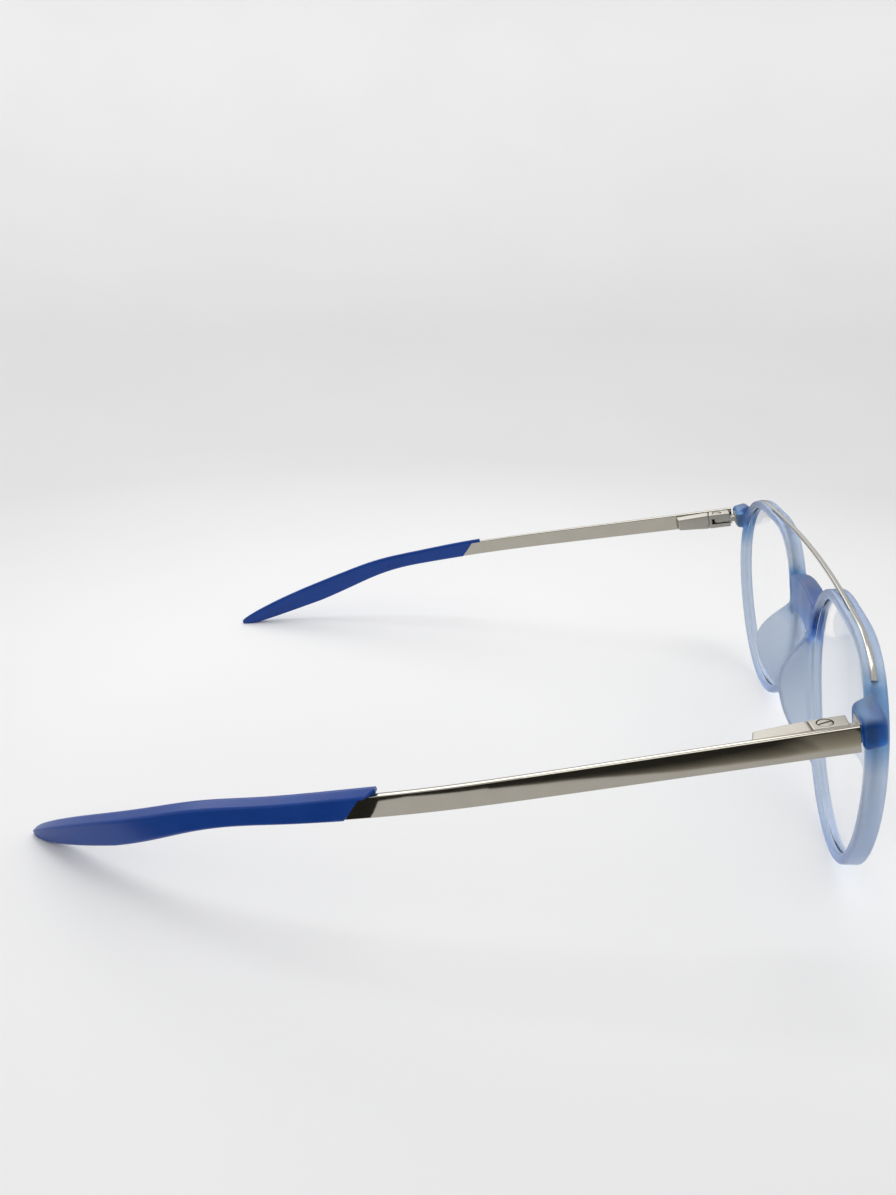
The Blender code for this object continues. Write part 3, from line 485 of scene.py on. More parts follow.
ARM_NICKEL = nickel_finish("satin_nickel_arm", pale=(0.44, 0.415, 0.36), deep=(0.42, 0.395, 0.34),
                           smooth=0.03, dull=0.05, attribute="grain")
BAR_NICKEL = nickel_finish("satin_nickel_bar", pale=(0.54, 0.52, 0.48), deep=(0.50, 0.48, 0.44),
                           smooth=0.12, dull=0.18)
NICKEL = nickel_finish("satin_nickel", pale=(0.42, 0.40, 0.355), deep=(0.40, 0.38, 0.335),
                       smooth=0.36, dull=0.44)
SPRING_STEEL = nickel_finish("spring_steel", pale=(0.50, 0.50, 0.51), deep=(0.40, 0.40, 0.41),
                             smooth=0.22, dull=0.30)
print("metals", [metal.name for metal in (ARM_NICKEL, BAR_NICKEL, NICKEL, SPRING_STEEL)])

# %% [markdown]
# ## The clear lens
# A lens is nearly invisible. Plain glass would mirror the window too strongly, because real lenses are
# coated, so the refraction is set low and only a breath of unevenness is left on the surface.


# %% Clear lens
def lens_finish():
    """Clear lenses are coated against reflections, so they shine less than plain glass."""
    finish, tree, shader = new_finish("clear_lens")
    shader.inputs["Transmission Weight"].default_value = 1.0
    shader.inputs["IOR"].default_value = 1.2
    clouds = object_noise(tree, scale=60.0)
    tint = colour_between(tree, clouds, low=(0.985, 0.988, 0.99), high=(0.995, 0.996, 1.0))
    tree.links.new(tint, shader.inputs["Base Color"])
    tree.links.new(between(tree, clouds, low=0.0, high=0.02), shader.inputs["Roughness"])
    return finish


CLEAR_LENS = lens_finish()
print(CLEAR_LENS.name, len(CLEAR_LENS.node_tree.nodes), "nodes")

# %% [markdown]
# ## From a shape to a piece
# Each piece ends as a plain mesh at the origin that rides on a body of the frame. These helpers turn a
# shape with modifiers into such a mesh, copy a construction node, and hand the piece over.

# %% Piece helpers
WELD = 1e-7


def plain_piece(thing, name):
    """Bakes an object's modifiers and place into a plain mesh object at the origin."""
    bpy.context.view_layer.update()
    depsgraph = bpy.context.evaluated_depsgraph_get()
    mesh = bpy.data.meshes.new_from_object(thing.evaluated_get(depsgraph))
    mesh.transform(thing.matrix_world)
    mesh.name = name
    bpy.data.objects.remove(thing, do_unlink=True)
    piece = bpy.data.objects.new(name, mesh)
    bpy.context.scene.collection.objects.link(piece)
    return piece


def shape_object(name, shape, matrix=None):
    """Makes an object of a bmesh, welded and with its faces outwards."""
    bmesh.ops.remove_doubles(shape, verts=shape.verts, dist=WELD)
    bmesh.ops.recalc_face_normals(shape, faces=shape.faces)
    mesh = bpy.data.meshes.new(name)
    shape.to_mesh(mesh)
    shape.free()
    thing = bpy.data.objects.new(name, mesh)
    bpy.context.scene.collection.objects.link(thing)
    if matrix is not None:
        thing.matrix_world = matrix
    return thing


def node_copy(node, name):
    """A welded copy of a construction node's mesh."""
    shape = bmesh.new()
    shape.from_mesh(frame["nodes"][node].data)
    return shape_object(name, shape)


def even_shading(piece, angle):
    """Smooth shading with sharp edges kept, in which large flats stay flat beside their small bevels."""
    name = piece.name
    piece.data.shade_smooth()
    piece.data.set_sharp_from_angle(angle=math.radians(angle))
    weigh = piece.modifiers.new("flat_faces", "WEIGHTED_NORMAL")
    weigh.keep_sharp = True
    weigh.weight = 100
    return plain_piece(piece, name)


def hand_over(piece, body, node, finish, angle):
    """Gives a piece its finish and its shading, and lets it stand for a node of the frame.

    Edges sharper than the angle, in degrees, stay sharp."""
    piece.data.materials.clear()
    piece.data.materials.append(finish)
    shadow = piece.visible_shadow
    piece = even_shading(piece, angle)
    piece.visible_shadow = shadow
    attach(piece, body)
    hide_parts(node)
    print(piece.name, len(piece.data.polygons), "faces on", body)
    return piece


def cut(thing, cutter):
    """Takes a cutter out of an object and removes it."""
    step = thing.modifiers.new("cut", "BOOLEAN")
    step.operation = "DIFFERENCE"
    step.solver = "EXACT"
    step.object = cutter
    name = thing.name
    piece = plain_piece(thing, name)
    bpy.data.objects.remove(cutter, do_unlink=True)
    return piece


print("piece helpers ready")

# %% [markdown]
# ## The outline of the openings
# Lenses and brow bar both follow the openings' outline: an ellipse, a little fuller at its upper corners
# and at its foot. The same rule as in the construction gives it here, in the front's own plane, which is
# tilted and slightly bowed.

# %% Opening outline
OPENING_WIDTH = 48.0 * MM
OPENING_HEIGHT = 43.2 * MM
OPENING_FULLNESS = 1.4 * MM
OPENING_SQUARENESS = 0.34 * MM
BRIDGE_GAP = 19.7 * MM
OPENING_CENTRE = (BRIDGE_GAP + OPENING_WIDTH) / 2
RIM_WIDTH = 1.9 * MM
RIM_DEPTH = 3.4 * MM
RIM_ROUNDING = 0.45 * MM
FRONT_BOW_RADIUS = 580.0 * MM
FRONT_TILT = math.radians(4.4)
FRONT_BEHIND_HINGE = -13.59 * MM


def opening_radius(angle):
    """From the lens centre to the opening's edge: angle 0 to the temple, a quarter turn up."""
    across = math.cos(angle) / (OPENING_WIDTH / 2)
    up = math.sin(angle) / (OPENING_HEIGHT / 2)
    fuller = OPENING_FULLNESS * math.sin(3 * angle)
    squarer = -OPENING_SQUARENESS * math.cos(4 * angle)
    return 1 / math.hypot(across, up) + fuller + squarer


def bowed(across, depth, up):
    """A point of the front's own plane, pushed back by the front's bow."""
    return Vector((across, depth + across * across / (2 * FRONT_BOW_RADIUS), up))


joints = {joint["name"]: joint for joint in frame["joints"]}
HINGES = {name: Vector(joints["fold_" + name]["pos_m"]) for name in SIDES}
foot = opening_radius(-math.pi / 2) + RIM_WIDTH
rear = RIM_DEPTH + OPENING_CENTRE ** 2 / (2 * FRONT_BOW_RADIUS)
stand = foot * math.cos(FRONT_TILT) + (rear - RIM_ROUNDING) * math.sin(FRONT_TILT)
FRONT_PLACE = (Matrix.Translation((0.0, HINGES["left"].y + FRONT_BEHIND_HINGE, stand))
               @ Matrix.Rotation(-FRONT_TILT, 4, "X"))
print("lens centres stand", round(stand / MM, 2), "mm above the table")

# %% [markdown]
# ## The lenses
# A lens is a domed disc with an even wall and a bevelled edge that sits in the rim's groove. Rings of
# points from the middle out to the edge, on the front and on the back, make it. A plain circle would
# leave a gap at the corners, so each ring follows the opening's outline. Light passes through a lens, so
# it casts no shadow.

# %% Lenses
LENS_WALL = 1.1 * MM
LENS_DOME = 1.3 * MM
LENS_BITE = 0.3 * MM
LENS_EDGE_INSET = 0.992
LENS_EDGE_FLAT = 0.35
GROOVE_AT = 1.0 * MM
GROOVE_WIDTH = LENS_WALL + 0.6 * MM
LENS_DEPTH = GROOVE_AT + GROOVE_WIDTH / 2
LENS_SPOKES = 96
LENS_RINGS = 14


def lens_point(share, angle, off, side):
    """A point on the lens, at a share of the way out, off its middle surface."""
    reach = share * (opening_radius(angle) + LENS_BITE)
    depth = LENS_DEPTH - LENS_DOME * (1 - share ** 2) + off
    return bowed(side * (OPENING_CENTRE + reach * math.cos(angle)), depth, reach * math.sin(angle))


def make_lens(name, side):
    """Skins the rings from the front's middle over the edge to the back's middle."""
    shape = bmesh.new()
    half = LENS_WALL / 2
    layers = [(share / LENS_RINGS, -half) for share in range(1, LENS_RINGS)]
    flat = half * LENS_EDGE_FLAT
    layers += [(LENS_EDGE_INSET, -half), (1.0, -flat), (1.0, flat), (LENS_EDGE_INSET, half)]
    layers += [(share / LENS_RINGS, half) for share in range(LENS_RINGS - 1, 0, -1)]
    turns = [math.tau * spoke / LENS_SPOKES for spoke in range(LENS_SPOKES)]
    rows = [[shape.verts.new(lens_point(share, turn, off, side)) for turn in turns] for share, off in layers]
    for row, following in zip(rows, rows[1:]):
        for i in range(LENS_SPOKES):
            shape.faces.new((row[i - 1], row[i], following[i], following[i - 1]))
    for row, off in ((rows[0], -half), (rows[-1], half)):
        middle = shape.verts.new(lens_point(0.0, 0.0, off, side))
        for i in range(LENS_SPOKES):
            shape.faces.new((row[i - 1], row[i], middle))
    return plain_piece(shape_object(name, shape, FRONT_PLACE), name)


for name, side in SIDES.items():
    lens = make_lens("clear_lens_" + name, side)
    lens.visible_shadow = False
    hand_over(lens, "front", "lens_" + name, CLEAR_LENS, angle=35.0)

# %% [markdown]
# ## A strip along a path
# The brow bar and the temple arms are both drawn metal strips that follow a path. Geometry Nodes does
# this well: a rounded rectangle is swept along a curve, and a few sizes shape it. The tree lets the strip
# grow lower towards its end and slants its end, which the arms need. It also stores where each point
# lies along the strip, so that a finish can follow it.


# %% Strip tree helpers
def strip_tree():
    """An empty tree with the strip's sizes as inputs."""
    tree = bpy.data.node_groups.new("strip_along_path", "GeometryNodeTree")
    tree.interface.new_socket("Path", in_out="INPUT", socket_type="NodeSocketGeometry")
    for name in ("Height", "Thickness", "Edge", "Crown", "End share", "End slant", "Slant length"):
        tree.interface.new_socket(name, in_out="INPUT", socket_type="NodeSocketFloat")
    tree.interface.new_socket("Finish", in_out="INPUT", socket_type="NodeSocketMaterial")
    tree.interface.new_socket("Strip", in_out="OUTPUT", socket_type="NodeSocketGeometry")
    return tree


def math_node(tree, operation, first, second):
    """A sum, a product or the like of two sockets or plain numbers."""
    node = add_node(tree, "ShaderNodeMath", {"operation": operation})
    for socket, value in zip(node.inputs, (first, second)):
        if isinstance(value, (int, float)):
            socket.default_value = value
        else:
            tree.links.new(value, socket)
    return node.outputs["Value"]


def vector_node(tree, operation, first, second=None, scale=None):
    """The same for vectors."""
    node = add_node(tree, "ShaderNodeVectorMath", {"operation": operation})
    for socket, value in zip(node.inputs, (first, second)):
        if isinstance(value, tuple):
            socket.default_value = value
        elif value is not None:
            tree.links.new(value, socket)
    if scale is not None:
        tree.links.new(scale, node.inputs["Scale"])
    return node.outputs["Value" if operation == "DOT_PRODUCT" else "Vector"]


print("strip tree helpers ready")


# %% Strip's path and height
def rail_with_memory(tree, sizes):
    """The path with upright normals; each point remembers its place, direction and run."""
    upright = add_node(tree, "GeometryNodeSetCurveNormal", {"mode": "Z_UP"})
    tree.links.new(sizes["Path"], upright.inputs["Curve"])
    memory = add_node(tree, "GeometryNodeCaptureAttribute")
    tree.links.new(upright.outputs["Curve"], memory.inputs["Geometry"])
    sources = {"Place": add_node(tree, "GeometryNodeInputPosition").outputs["Position"],
               "Along": add_node(tree, "GeometryNodeInputTangent").outputs["Tangent"],
               "Run": add_node(tree, "GeometryNodeSplineParameter").outputs["Length"],
               "Share": add_node(tree, "GeometryNodeSplineParameter").outputs["Factor"],
               "Whole": add_node(tree, "GeometryNodeSplineLength").outputs["Length"]}
    for name, source in sources.items():
        kind = "VECTOR" if name in ("Place", "Along") else "FLOAT"
        memory.capture_items.new(kind, name)
        tree.links.new(source, memory.inputs[name])
    return memory


def section_height(tree, memory):
    """How high above its path and how far aside a point of the sweep lies, and which way is up there."""
    along = memory.outputs["Along"]
    lift = vector_node(tree, "DOT_PRODUCT", (0.0, 0.0, 1.0), along)
    level = vector_node(tree, "SCALE", along, scale=lift)
    up = vector_node(tree, "NORMALIZE", vector_node(tree, "SUBTRACT", (0.0, 0.0, 1.0), level))
    here = add_node(tree, "GeometryNodeInputPosition").outputs["Position"]
    off = vector_node(tree, "SUBTRACT", here, memory.outputs["Place"])
    aside = vector_node(tree, "DOT_PRODUCT", off, vector_node(tree, "CROSS_PRODUCT", along, up))
    return vector_node(tree, "DOT_PRODUCT", off, up), aside, up


print("strip's path and height ready")


# %% Strip's shape
def shaped_offset(tree, memory, sizes, height, aside, up):
    """How far each point of the plain sweep moves: crowned on top, lower and slanted towards the end."""
    shrink = math_node(tree, "MULTIPLY", math_node(tree, "SUBTRACT", sizes["End share"], 1.0),
                       memory.outputs["Share"])
    on_top = math_node(tree, "GREATER_THAN", height, 0.0)
    crown = math_node(tree, "MULTIPLY", math_node(tree, "MULTIPLY", sizes["Crown"], on_top),
                      math_node(tree, "MULTIPLY", aside, aside))
    drop = math_node(tree, "SUBTRACT", math_node(tree, "MULTIPLY", shrink, height), crown)
    lower = vector_node(tree, "SCALE", up, scale=drop)
    past = math_node(tree, "SUBTRACT", math_node(tree, "ADD", memory.outputs["Run"], sizes["Slant length"]),
                     memory.outputs["Whole"])
    weight = math_node(tree, "MINIMUM", math_node(tree, "MAXIMUM",
                       math_node(tree, "DIVIDE", past, sizes["Slant length"]), 0.0), 1.0)
    down = math_node(tree, "SUBTRACT", 0.5, math_node(tree, "DIVIDE", height, sizes["Height"]))
    slant = math_node(tree, "MULTIPLY", math_node(tree, "MULTIPLY", weight, down), sizes["End slant"])
    return vector_node(tree, "ADD", lower, vector_node(tree, "SCALE", memory.outputs["Along"], scale=slant))


def stored_grain(tree, memory, height):
    """Writes run and height on the strip, for the fine lines of its finish."""
    grain = add_node(tree, "ShaderNodeCombineXYZ")
    tree.links.new(memory.outputs["Run"], grain.inputs["Y"])
    tree.links.new(height, grain.inputs["Z"])
    store = add_node(tree, "GeometryNodeStoreNamedAttribute", {"data_type": "FLOAT_VECTOR"}, Name="grain")
    tree.links.new(grain.outputs["Vector"], store.inputs["Value"])
    return store


print("strip's shape ready")


# %% Strip tree
def build_strip_tree():
    """Joins the parts: a rounded section is swept along the path, shaped, and given its finish."""
    tree = strip_tree()
    sizes = tree.nodes.new("NodeGroupInput").outputs
    memory = rail_with_memory(tree, sizes)
    section = add_node(tree, "GeometryNodeCurvePrimitiveQuadrilateral", {"mode": "RECTANGLE"})
    tree.links.new(sizes["Thickness"], section.inputs["Width"])
    tree.links.new(sizes["Height"], section.inputs["Height"])
    rounded = add_node(tree, "GeometryNodeFilletCurve", {"mode": "POLY"}, Count=4, Limit_Radius=True)
    tree.links.new(section.outputs["Curve"], rounded.inputs["Curve"])
    tree.links.new(sizes["Edge"], rounded.inputs["Radius"])
    finer = add_node(tree, "GeometryNodeSubdivideCurve", Cuts=3)
    tree.links.new(rounded.outputs["Curve"], finer.inputs["Curve"])
    sweep = add_node(tree, "GeometryNodeCurveToMesh", Fill_Caps=True)
    tree.links.new(memory.outputs["Geometry"], sweep.inputs["Curve"])
    tree.links.new(finer.outputs["Curve"], sweep.inputs["Profile Curve"])
    height, aside, up = section_height(tree, memory)
    store = stored_grain(tree, memory, height)
    tree.links.new(sweep.outputs["Mesh"], store.inputs["Geometry"])
    move = add_node(tree, "GeometryNodeSetPosition")
    tree.links.new(store.outputs["Geometry"], move.inputs["Geometry"])
    tree.links.new(shaped_offset(tree, memory, sizes, height, aside, up), move.inputs["Offset"])
    whole = add_node(tree, "GeometryNodeRealizeInstances")
    tree.links.new(move.outputs["Geometry"], whole.inputs["Geometry"])
    coat = add_node(tree, "GeometryNodeSetMaterial")
    tree.links.new(whole.outputs["Geometry"], coat.inputs["Geometry"])
    tree.links.new(sizes["Finish"], coat.inputs["Material"])
    out = tree.nodes.new("NodeGroupOutput")
    tree.links.new(coat.outputs["Geometry"], out.inputs["Strip"])
    return tree


STRIP_TREE = build_strip_tree()
print("strip tree", len(STRIP_TREE.nodes), "nodes")


# %% Strip along points
def strip(name, points, matrix, finish, **sizes):
    """Sweeps a strip along points, with the tree's sizes, and returns it as a plain mesh object."""
    curve = bpy.data.curves.new(name, "CURVE")
    curve.dimensions = "3D"
    spline = curve.splines.new("POLY")
    spline.points.add(len(points) - 1)
    for place, point in zip(spline.points, points):
        place.co = (*point, 1.0)
    thing = bpy.data.objects.new(name, curve)
    bpy.context.scene.collection.objects.link(thing)
    thing.matrix_world = matrix
    modifier = thing.modifiers.new("strip", "NODES")
    values = {key.replace("_", " "): value for key, value in sizes.items()}
    values["Finish"] = finish
    modifier.node_group = STRIP_TREE
    for item in STRIP_TREE.interface.items_tree:
        if item.in_out == "INPUT" and item.name in values:
            modifier[item.identifier] = values[item.name]
    piece = plain_piece(thing, name)
    shape = bmesh.new()
    shape.from_mesh(piece.data)
    bmesh.ops.remove_doubles(shape, verts=shape.verts, dist=WELD)
    bmesh.ops.recalc_face_normals(shape, faces=shape.faces)
    shape.to_mesh(piece.data)
    shape.free()
    return piece


print("strip ready")

# %% [markdown]
# ## The brow bar
# A thin bar lies in a slot along the top of each rim and runs straight across above the bridge. Its path
# is the rims' outline from one end to the highest point, a straight run, and the same outline mirrored.

# %% Brow bar
BAR_WIDTH = 1.0 * MM
BAR_THICKNESS = 0.8 * MM
BAR_PROUD = 0.12 * MM
BAR_EDGE = 0.36 * MM
BAR_DEPTH = 1.9 * MM
BAR_END_ANGLE = math.radians(42.0)
BAR_ARCH = 0.6 * MM
BAR_STEPS = 36


def bar_points(offset):
    """Along the right rim's edge up to its top, across, and down the left rim, off the opening's edge."""
    half = []
    for step in range(BAR_STEPS + 1):
        angle = BAR_END_ANGLE + (math.pi / 2 - BAR_END_ANGLE) * step / BAR_STEPS
        reach = opening_radius(angle) + offset
        half.append((OPENING_CENTRE + reach * math.cos(angle), reach * math.sin(angle)))
    span, top = half[-1]
    flat = [(-across, up) for across, up in half]
    for step in range(1, 2 * BAR_STEPS):
        share = step / BAR_STEPS - 1
        flat.append((share * span, top + BAR_ARCH * (1 - share ** 2)))
    flat += list(reversed(half))
    return [bowed(across, BAR_DEPTH, up) for across, up in flat]


brow_bar = strip("brow_wire", bar_points(RIM_WIDTH + BAR_PROUD - BAR_THICKNESS / 2), FRONT_PLACE, BAR_NICKEL,
                 Height=BAR_THICKNESS, Thickness=BAR_WIDTH, Edge=BAR_EDGE, End_share=1.0, Slant_length=MM)
hand_over(brow_bar, "front", "brow_bar", BAR_NICKEL, angle=50.0)

# %% [markdown]
# ## The front
# The real front is one soft moulding: rims, bridge, nose pads and end lugs flow into each other, and the
# plastic lies close round the bar. The construction has hard joints and a roomy slot there. A filler strip
# closes the slot, and a small ball fills the corner under the bridge above each pad. A voxel remesh turns
# everything into one even skin of small faces, and some rounds of smoothing melt the joints into fillets,
# as a mould maker would file them. Light passes through the front as well, so it casts no shadow either.

# %% Front
VOXEL = 0.26 * MM
FILLER_HEIGHT = 1.4 * MM
FILLER_WIDTH = 1.9 * MM
FILLER_EDGE = 0.1 * MM
WEB_PLACE = Vector((8.0, -71.0, 30.9)) * MM
WEB_RADIUS = 1.25 * MM


def front_with_filler():
    """The construction's front with a filler in each half of the bar's slot and a web by each pad."""
    shape = bmesh.new()
    shape.from_mesh(frame["nodes"]["front_frame"].data)
    route = bar_points(RIM_WIDTH - FILLER_HEIGHT / 2)
    for points in (route[:BAR_STEPS], route[-BAR_STEPS:]):
        filler = strip("filler", points, FRONT_PLACE, FROSTED_BLUE, Height=FILLER_HEIGHT,
                       Thickness=FILLER_WIDTH, Edge=FILLER_EDGE, End_share=1.0, Slant_length=MM)
        shape.from_mesh(filler.data)
        bpy.data.objects.remove(filler, do_unlink=True)
    for side in SIDES.values():
        corner = Matrix.Translation((side * WEB_PLACE.x, WEB_PLACE.y, WEB_PLACE.z))
        bmesh.ops.create_icosphere(shape, subdivisions=3, radius=WEB_RADIUS, matrix=corner)
    return shape_object("front_rough", shape)


front = front_with_filler()
even = front.modifiers.new("even_skin", "REMESH")
even.mode = "VOXEL"
even.voxel_size = VOXEL
melt = front.modifiers.new("melt", "SMOOTH")
melt.factor = 0.5
melt.iterations = 10
front = plain_piece(front, "front_moulding")
front.visible_shadow = False
hand_over(front, "front", "front_frame", FROSTED_BLUE, angle=180.0)

# %% [markdown]
# ## The path of a temple
# A temple runs straight back from its hinge, bends gently inwards and dips behind the ear. The path is
# worked out in small steps in the hinge's own frame. That frame comes from the joints: the slide along
# the temple gives its length, and the right hinge pin gives its height.

# %% Temple path
TEMPLE_REACH = 142.8 * MM
INWARD_START = 49.0 * MM
INWARD_CURVE = 5.4
INWARD_SOFTNESS = 6.0 * MM
EAR_BEND = math.radians(10.0)
EAR_BEND_AT = 98.0 * MM
EAR_BEND_LENGTH = 20.0 * MM
ARM_FRONT = -3.9 * MM
PATH_STEPS = 587


def ease(value, start, end):
    """Runs softly from 0 to 1 between two values."""
    share = min(max((value - start) / (end - start), 0.0), 1.0)
    return share * share * (3 - 2 * share)


def temple_path():
    """Entries of (place, outward, up) at even runs from the arm's front end to the tip's end."""
    stride = (TEMPLE_REACH - ARM_FRONT) / PATH_STEPS
    place = Vector((0.0, ARM_FRONT, 0.0))
    path = []
    for step in range(PATH_STEPS + 1):
        run = ARM_FRONT + stride * step
        beyond = run - INWARD_START
        turn_in = INWARD_CURVE * 0.5 * (beyond + math.hypot(beyond, INWARD_SOFTNESS))
        dip = EAR_BEND * ease(run, EAR_BEND_AT - EAR_BEND_LENGTH / 2, EAR_BEND_AT + EAR_BEND_LENGTH / 2)
        turn = Matrix.Rotation(turn_in, 3, "Z") @ Matrix.Rotation(-dip, 3, "X")
        if step:
            place = place + turn @ Vector((0.0, stride, 0.0))
        path.append((place.copy(), turn @ Vector((1, 0, 0)), turn @ Vector((0, 0, 1))))
    return path


PATH = temple_path()


def on_path(run, out, up, side):
    """A point beside the temple's path, mirrored for the wearer's right side."""
    spot = (run - ARM_FRONT) / (TEMPLE_REACH - ARM_FRONT) * PATH_STEPS
    first = min(max(int(spot), 0), PATH_STEPS - 1)
    point = Vector((0.0, 0.0, 0.0))
    for weight, entry in ((first + 1 - spot, PATH[first]), (spot - first, PATH[first + 1])):
        point += weight * (entry[0] + entry[1] * out + entry[2] * up)
    return Vector((side * point.x, point.y, point.z))


def axes_matrix(place, along, up):
    """A frame with +Y along and +Z up."""
    along = along.normalized()
    up = (up - along * up.dot(along)).normalized()
    turn = Matrix((along.cross(up), along, up)).transposed().to_4x4()
    return Matrix.Translation(place) @ turn


def upward(axis):
    """An axis turned, if need be, so that it points up."""
    axis = Vector(axis)
    return axis if axis.z > 0 else -axis


TEMPLES = {}
PINS = {}
for name in SIDES:
    along = Vector(joints["travel_" + name]["axis"])
    TEMPLES[name] = axes_matrix(HINGES[name], along, upward(joints["fold_right"]["axis"]))
    PINS[name] = axes_matrix(HINGES[name], along, upward(joints["fold_" + name]["axis"]))
print("temple runs", round(TEMPLE_REACH / MM, 1), "mm from its hinge pin")

# %% [markdown]
# ## The temple arms
# Each arm is a flat strip of metal standing on edge. It ends in a slanted shoulder, and from there a slim
# core runs on inside the tip. Two strips along the same path make them, and a union joins them.

# %% Temple arms
ARM_THICKNESS = 1.2 * MM
ARM_HEIGHT = 4.2 * MM
ARM_HEIGHT_REAR = 3.7 * MM
ARM_EDGE = 0.16 * MM
ARM_CROWN = 0.2 / MM
BOX_WIDTH = 3.1 * MM
BOX_GAP = 0.3 * MM
ARM_MIDDLE = BOX_WIDTH / 2 + BOX_GAP + ARM_THICKNESS / 2
SHOULDER_TOP = 69.8 * MM
SHOULDER_SLANT = 3.3 * MM
SHOULDER_RUN = 8.0 * MM
CORE_HEIGHT = 1.8 * MM
CORE_THICKNESS = 0.8 * MM
CORE_OVERLAP = 3.0 * MM
CORE_END = 118.0 * MM
ARM_STEPS = 90


def stretch_points(start, end, side):
    """Points along the arm's middle from one run to another."""
    return [on_path(start + (end - start) * step / ARM_STEPS, ARM_MIDDLE, 0.0, side)
            for step in range(ARM_STEPS + 1)]


def make_arm(name, side):
    """The flat strip and its core, joined."""
    matrix = TEMPLES[name]
    arm = strip("arm_" + name, stretch_points(ARM_FRONT, SHOULDER_TOP, side), matrix, ARM_NICKEL,
                Height=ARM_HEIGHT, Thickness=ARM_THICKNESS, Edge=ARM_EDGE, Crown=ARM_CROWN,
                End_share=ARM_HEIGHT_REAR / ARM_HEIGHT, End_slant=SHOULDER_SLANT, Slant_length=SHOULDER_RUN)
    core_points = stretch_points(SHOULDER_TOP - CORE_OVERLAP, CORE_END, side)
    core = strip("core_" + name, core_points, matrix, ARM_NICKEL, Height=CORE_HEIGHT,
                 Thickness=CORE_THICKNESS, Edge=ARM_EDGE, End_share=1.0, Slant_length=MM)
    joined = arm.modifiers.new("core", "BOOLEAN")
    joined.operation = "UNION"
    joined.solver = "EXACT"
    joined.object = core
    piece = plain_piece(arm, "arm_strip_" + name)
    bpy.data.objects.remove(core, do_unlink=True)
    return piece


for name, side in SIDES.items():
    arm = make_arm(name, side)
    hand_over(arm, "temple_" + name, "temple_arm_" + name, ARM_NICKEL, angle=30.0)

# %% [markdown]
# ## The temple tips
# A tip is a moulded sleeve. Its top is a flat that falls outwards, so a soft crease runs along its outer
# side. It swells to a heel and narrows to a blunt nose, and its mouth is cut to the arm's slant with a
# lip on top. Rounded sections along the path are skinned, and the mouth and the bore are cut afterwards.

# %% Tip sections
TIP_LIP = 2.4 * MM
LIP_GAP = 0.06 * MM
TIP_WIDTH = 2.8 * MM
TIP_TOP = 2.35 * MM
TIP_TOP_FALL = 0.75 * MM
TIP_LIP_RISE = 0.6 * MM
TIP_LIP_FADE = 24.0 * MM
TIP_BOTTOM = 1.9 * MM
TIP_SWELL = 1.6 * MM
TIP_SWELL_START = 86.0 * MM
TIP_HEEL_RISE = 1.2 * MM
TIP_NOSE_DROP = 0.7 * MM
TIP_BLUNTNESS = 3.2
HEEL_AT = 119.0 * MM
NOSE_LENGTH = 23.8 * MM
CORNER_STEPS = 7
WIDTH_LIMIT = 0.95
HEIGHT_LIMIT = 0.9
CORNER_ROUNDING = {"inner top": 1.0 * MM, "crease": 0.5 * MM, "outer foot": 1.0 * MM, "inner foot": 1.0 * MM}


def tip_section(run):
    """Half width, top and bottom of the tip at a run, and how far its nose has closed."""
    swell = ease(run, TIP_SWELL_START, HEEL_AT)
    lip = TIP_LIP_RISE * (1 - ease(run, SHOULDER_TOP - TIP_LIP, SHOULDER_TOP + TIP_LIP_FADE))
    past = max(run - HEEL_AT, 0.0) / NOSE_LENGTH
    top = TIP_TOP + lip - TIP_NOSE_DROP * past ** 2
    bottom = -TIP_BOTTOM - TIP_SWELL * swell + TIP_HEEL_RISE * past
    middle = (top + bottom) / 2
    blunt = (1 - past ** TIP_BLUNTNESS) ** (1 / TIP_BLUNTNESS)
    return TIP_WIDTH / 2 * blunt, middle + (top - middle) * blunt, middle + (bottom - middle) * blunt, blunt


def rounded_corner(before, corner, after, radius):
    """Points of a soft corner, as a curve that leaves one side and joins the next."""
    start = corner + (before - corner).normalized() * radius
    end = corner + (after - corner).normalized() * radius
    points = []
    for step in range(CORNER_STEPS + 1):
        share = step / CORNER_STEPS
        points.append((1 - share) ** 2 * start + 2 * share * (1 - share) * corner + share ** 2 * end)
    return points


def tip_ring(run, side):
    """The tip's outline at a run: four corners, each with its own softness."""
    half, top, bottom, blunt = tip_section(run)
    middle = (top + bottom) / 2
    fall = TIP_TOP_FALL * blunt
    corners = [Vector((-half, top, 0)), Vector((half, top - fall, 0)), Vector((half, bottom, 0)),
               Vector((-half, bottom, 0))]
    widest = min(half * WIDTH_LIMIT, (top - middle) * HEIGHT_LIMIT)
    ring = []
    for i, rounding in enumerate(CORNER_ROUNDING.values()):
        before, after = corners[i - 1], corners[(i + 1) % len(corners)]
        ring += rounded_corner(before, corners[i], after, min(rounding * blunt, widest))
    return [on_path(run, ARM_MIDDLE + spot.x, spot.y, side) for spot in ring]


print("tip section at the heel, mm:", [round(v / MM, 2) for v in tip_section(HEEL_AT)[:3]])


# %% Tip cutters
TIP_STATIONS = 120
NOSE_STATIONS = 40
MOUTH_GAP = 0.04 * MM
MOUTH_CUT_REACH = 6.0 * MM
LIP_CUT_ROOF = 9.0 * MM
LIP_CUT_OVERLAP = 0.01 * MM
LIP_STEPS = 12
LIP_INSET = -0.2
LIP_SWEEP = 1.3
LIP_ROUNDNESS = 1.5
BORE_OVERLAP = 4.0 * MM
BORE_END_GAP = 0.3 * MM
BORE_PLAY = 0.5 * MM


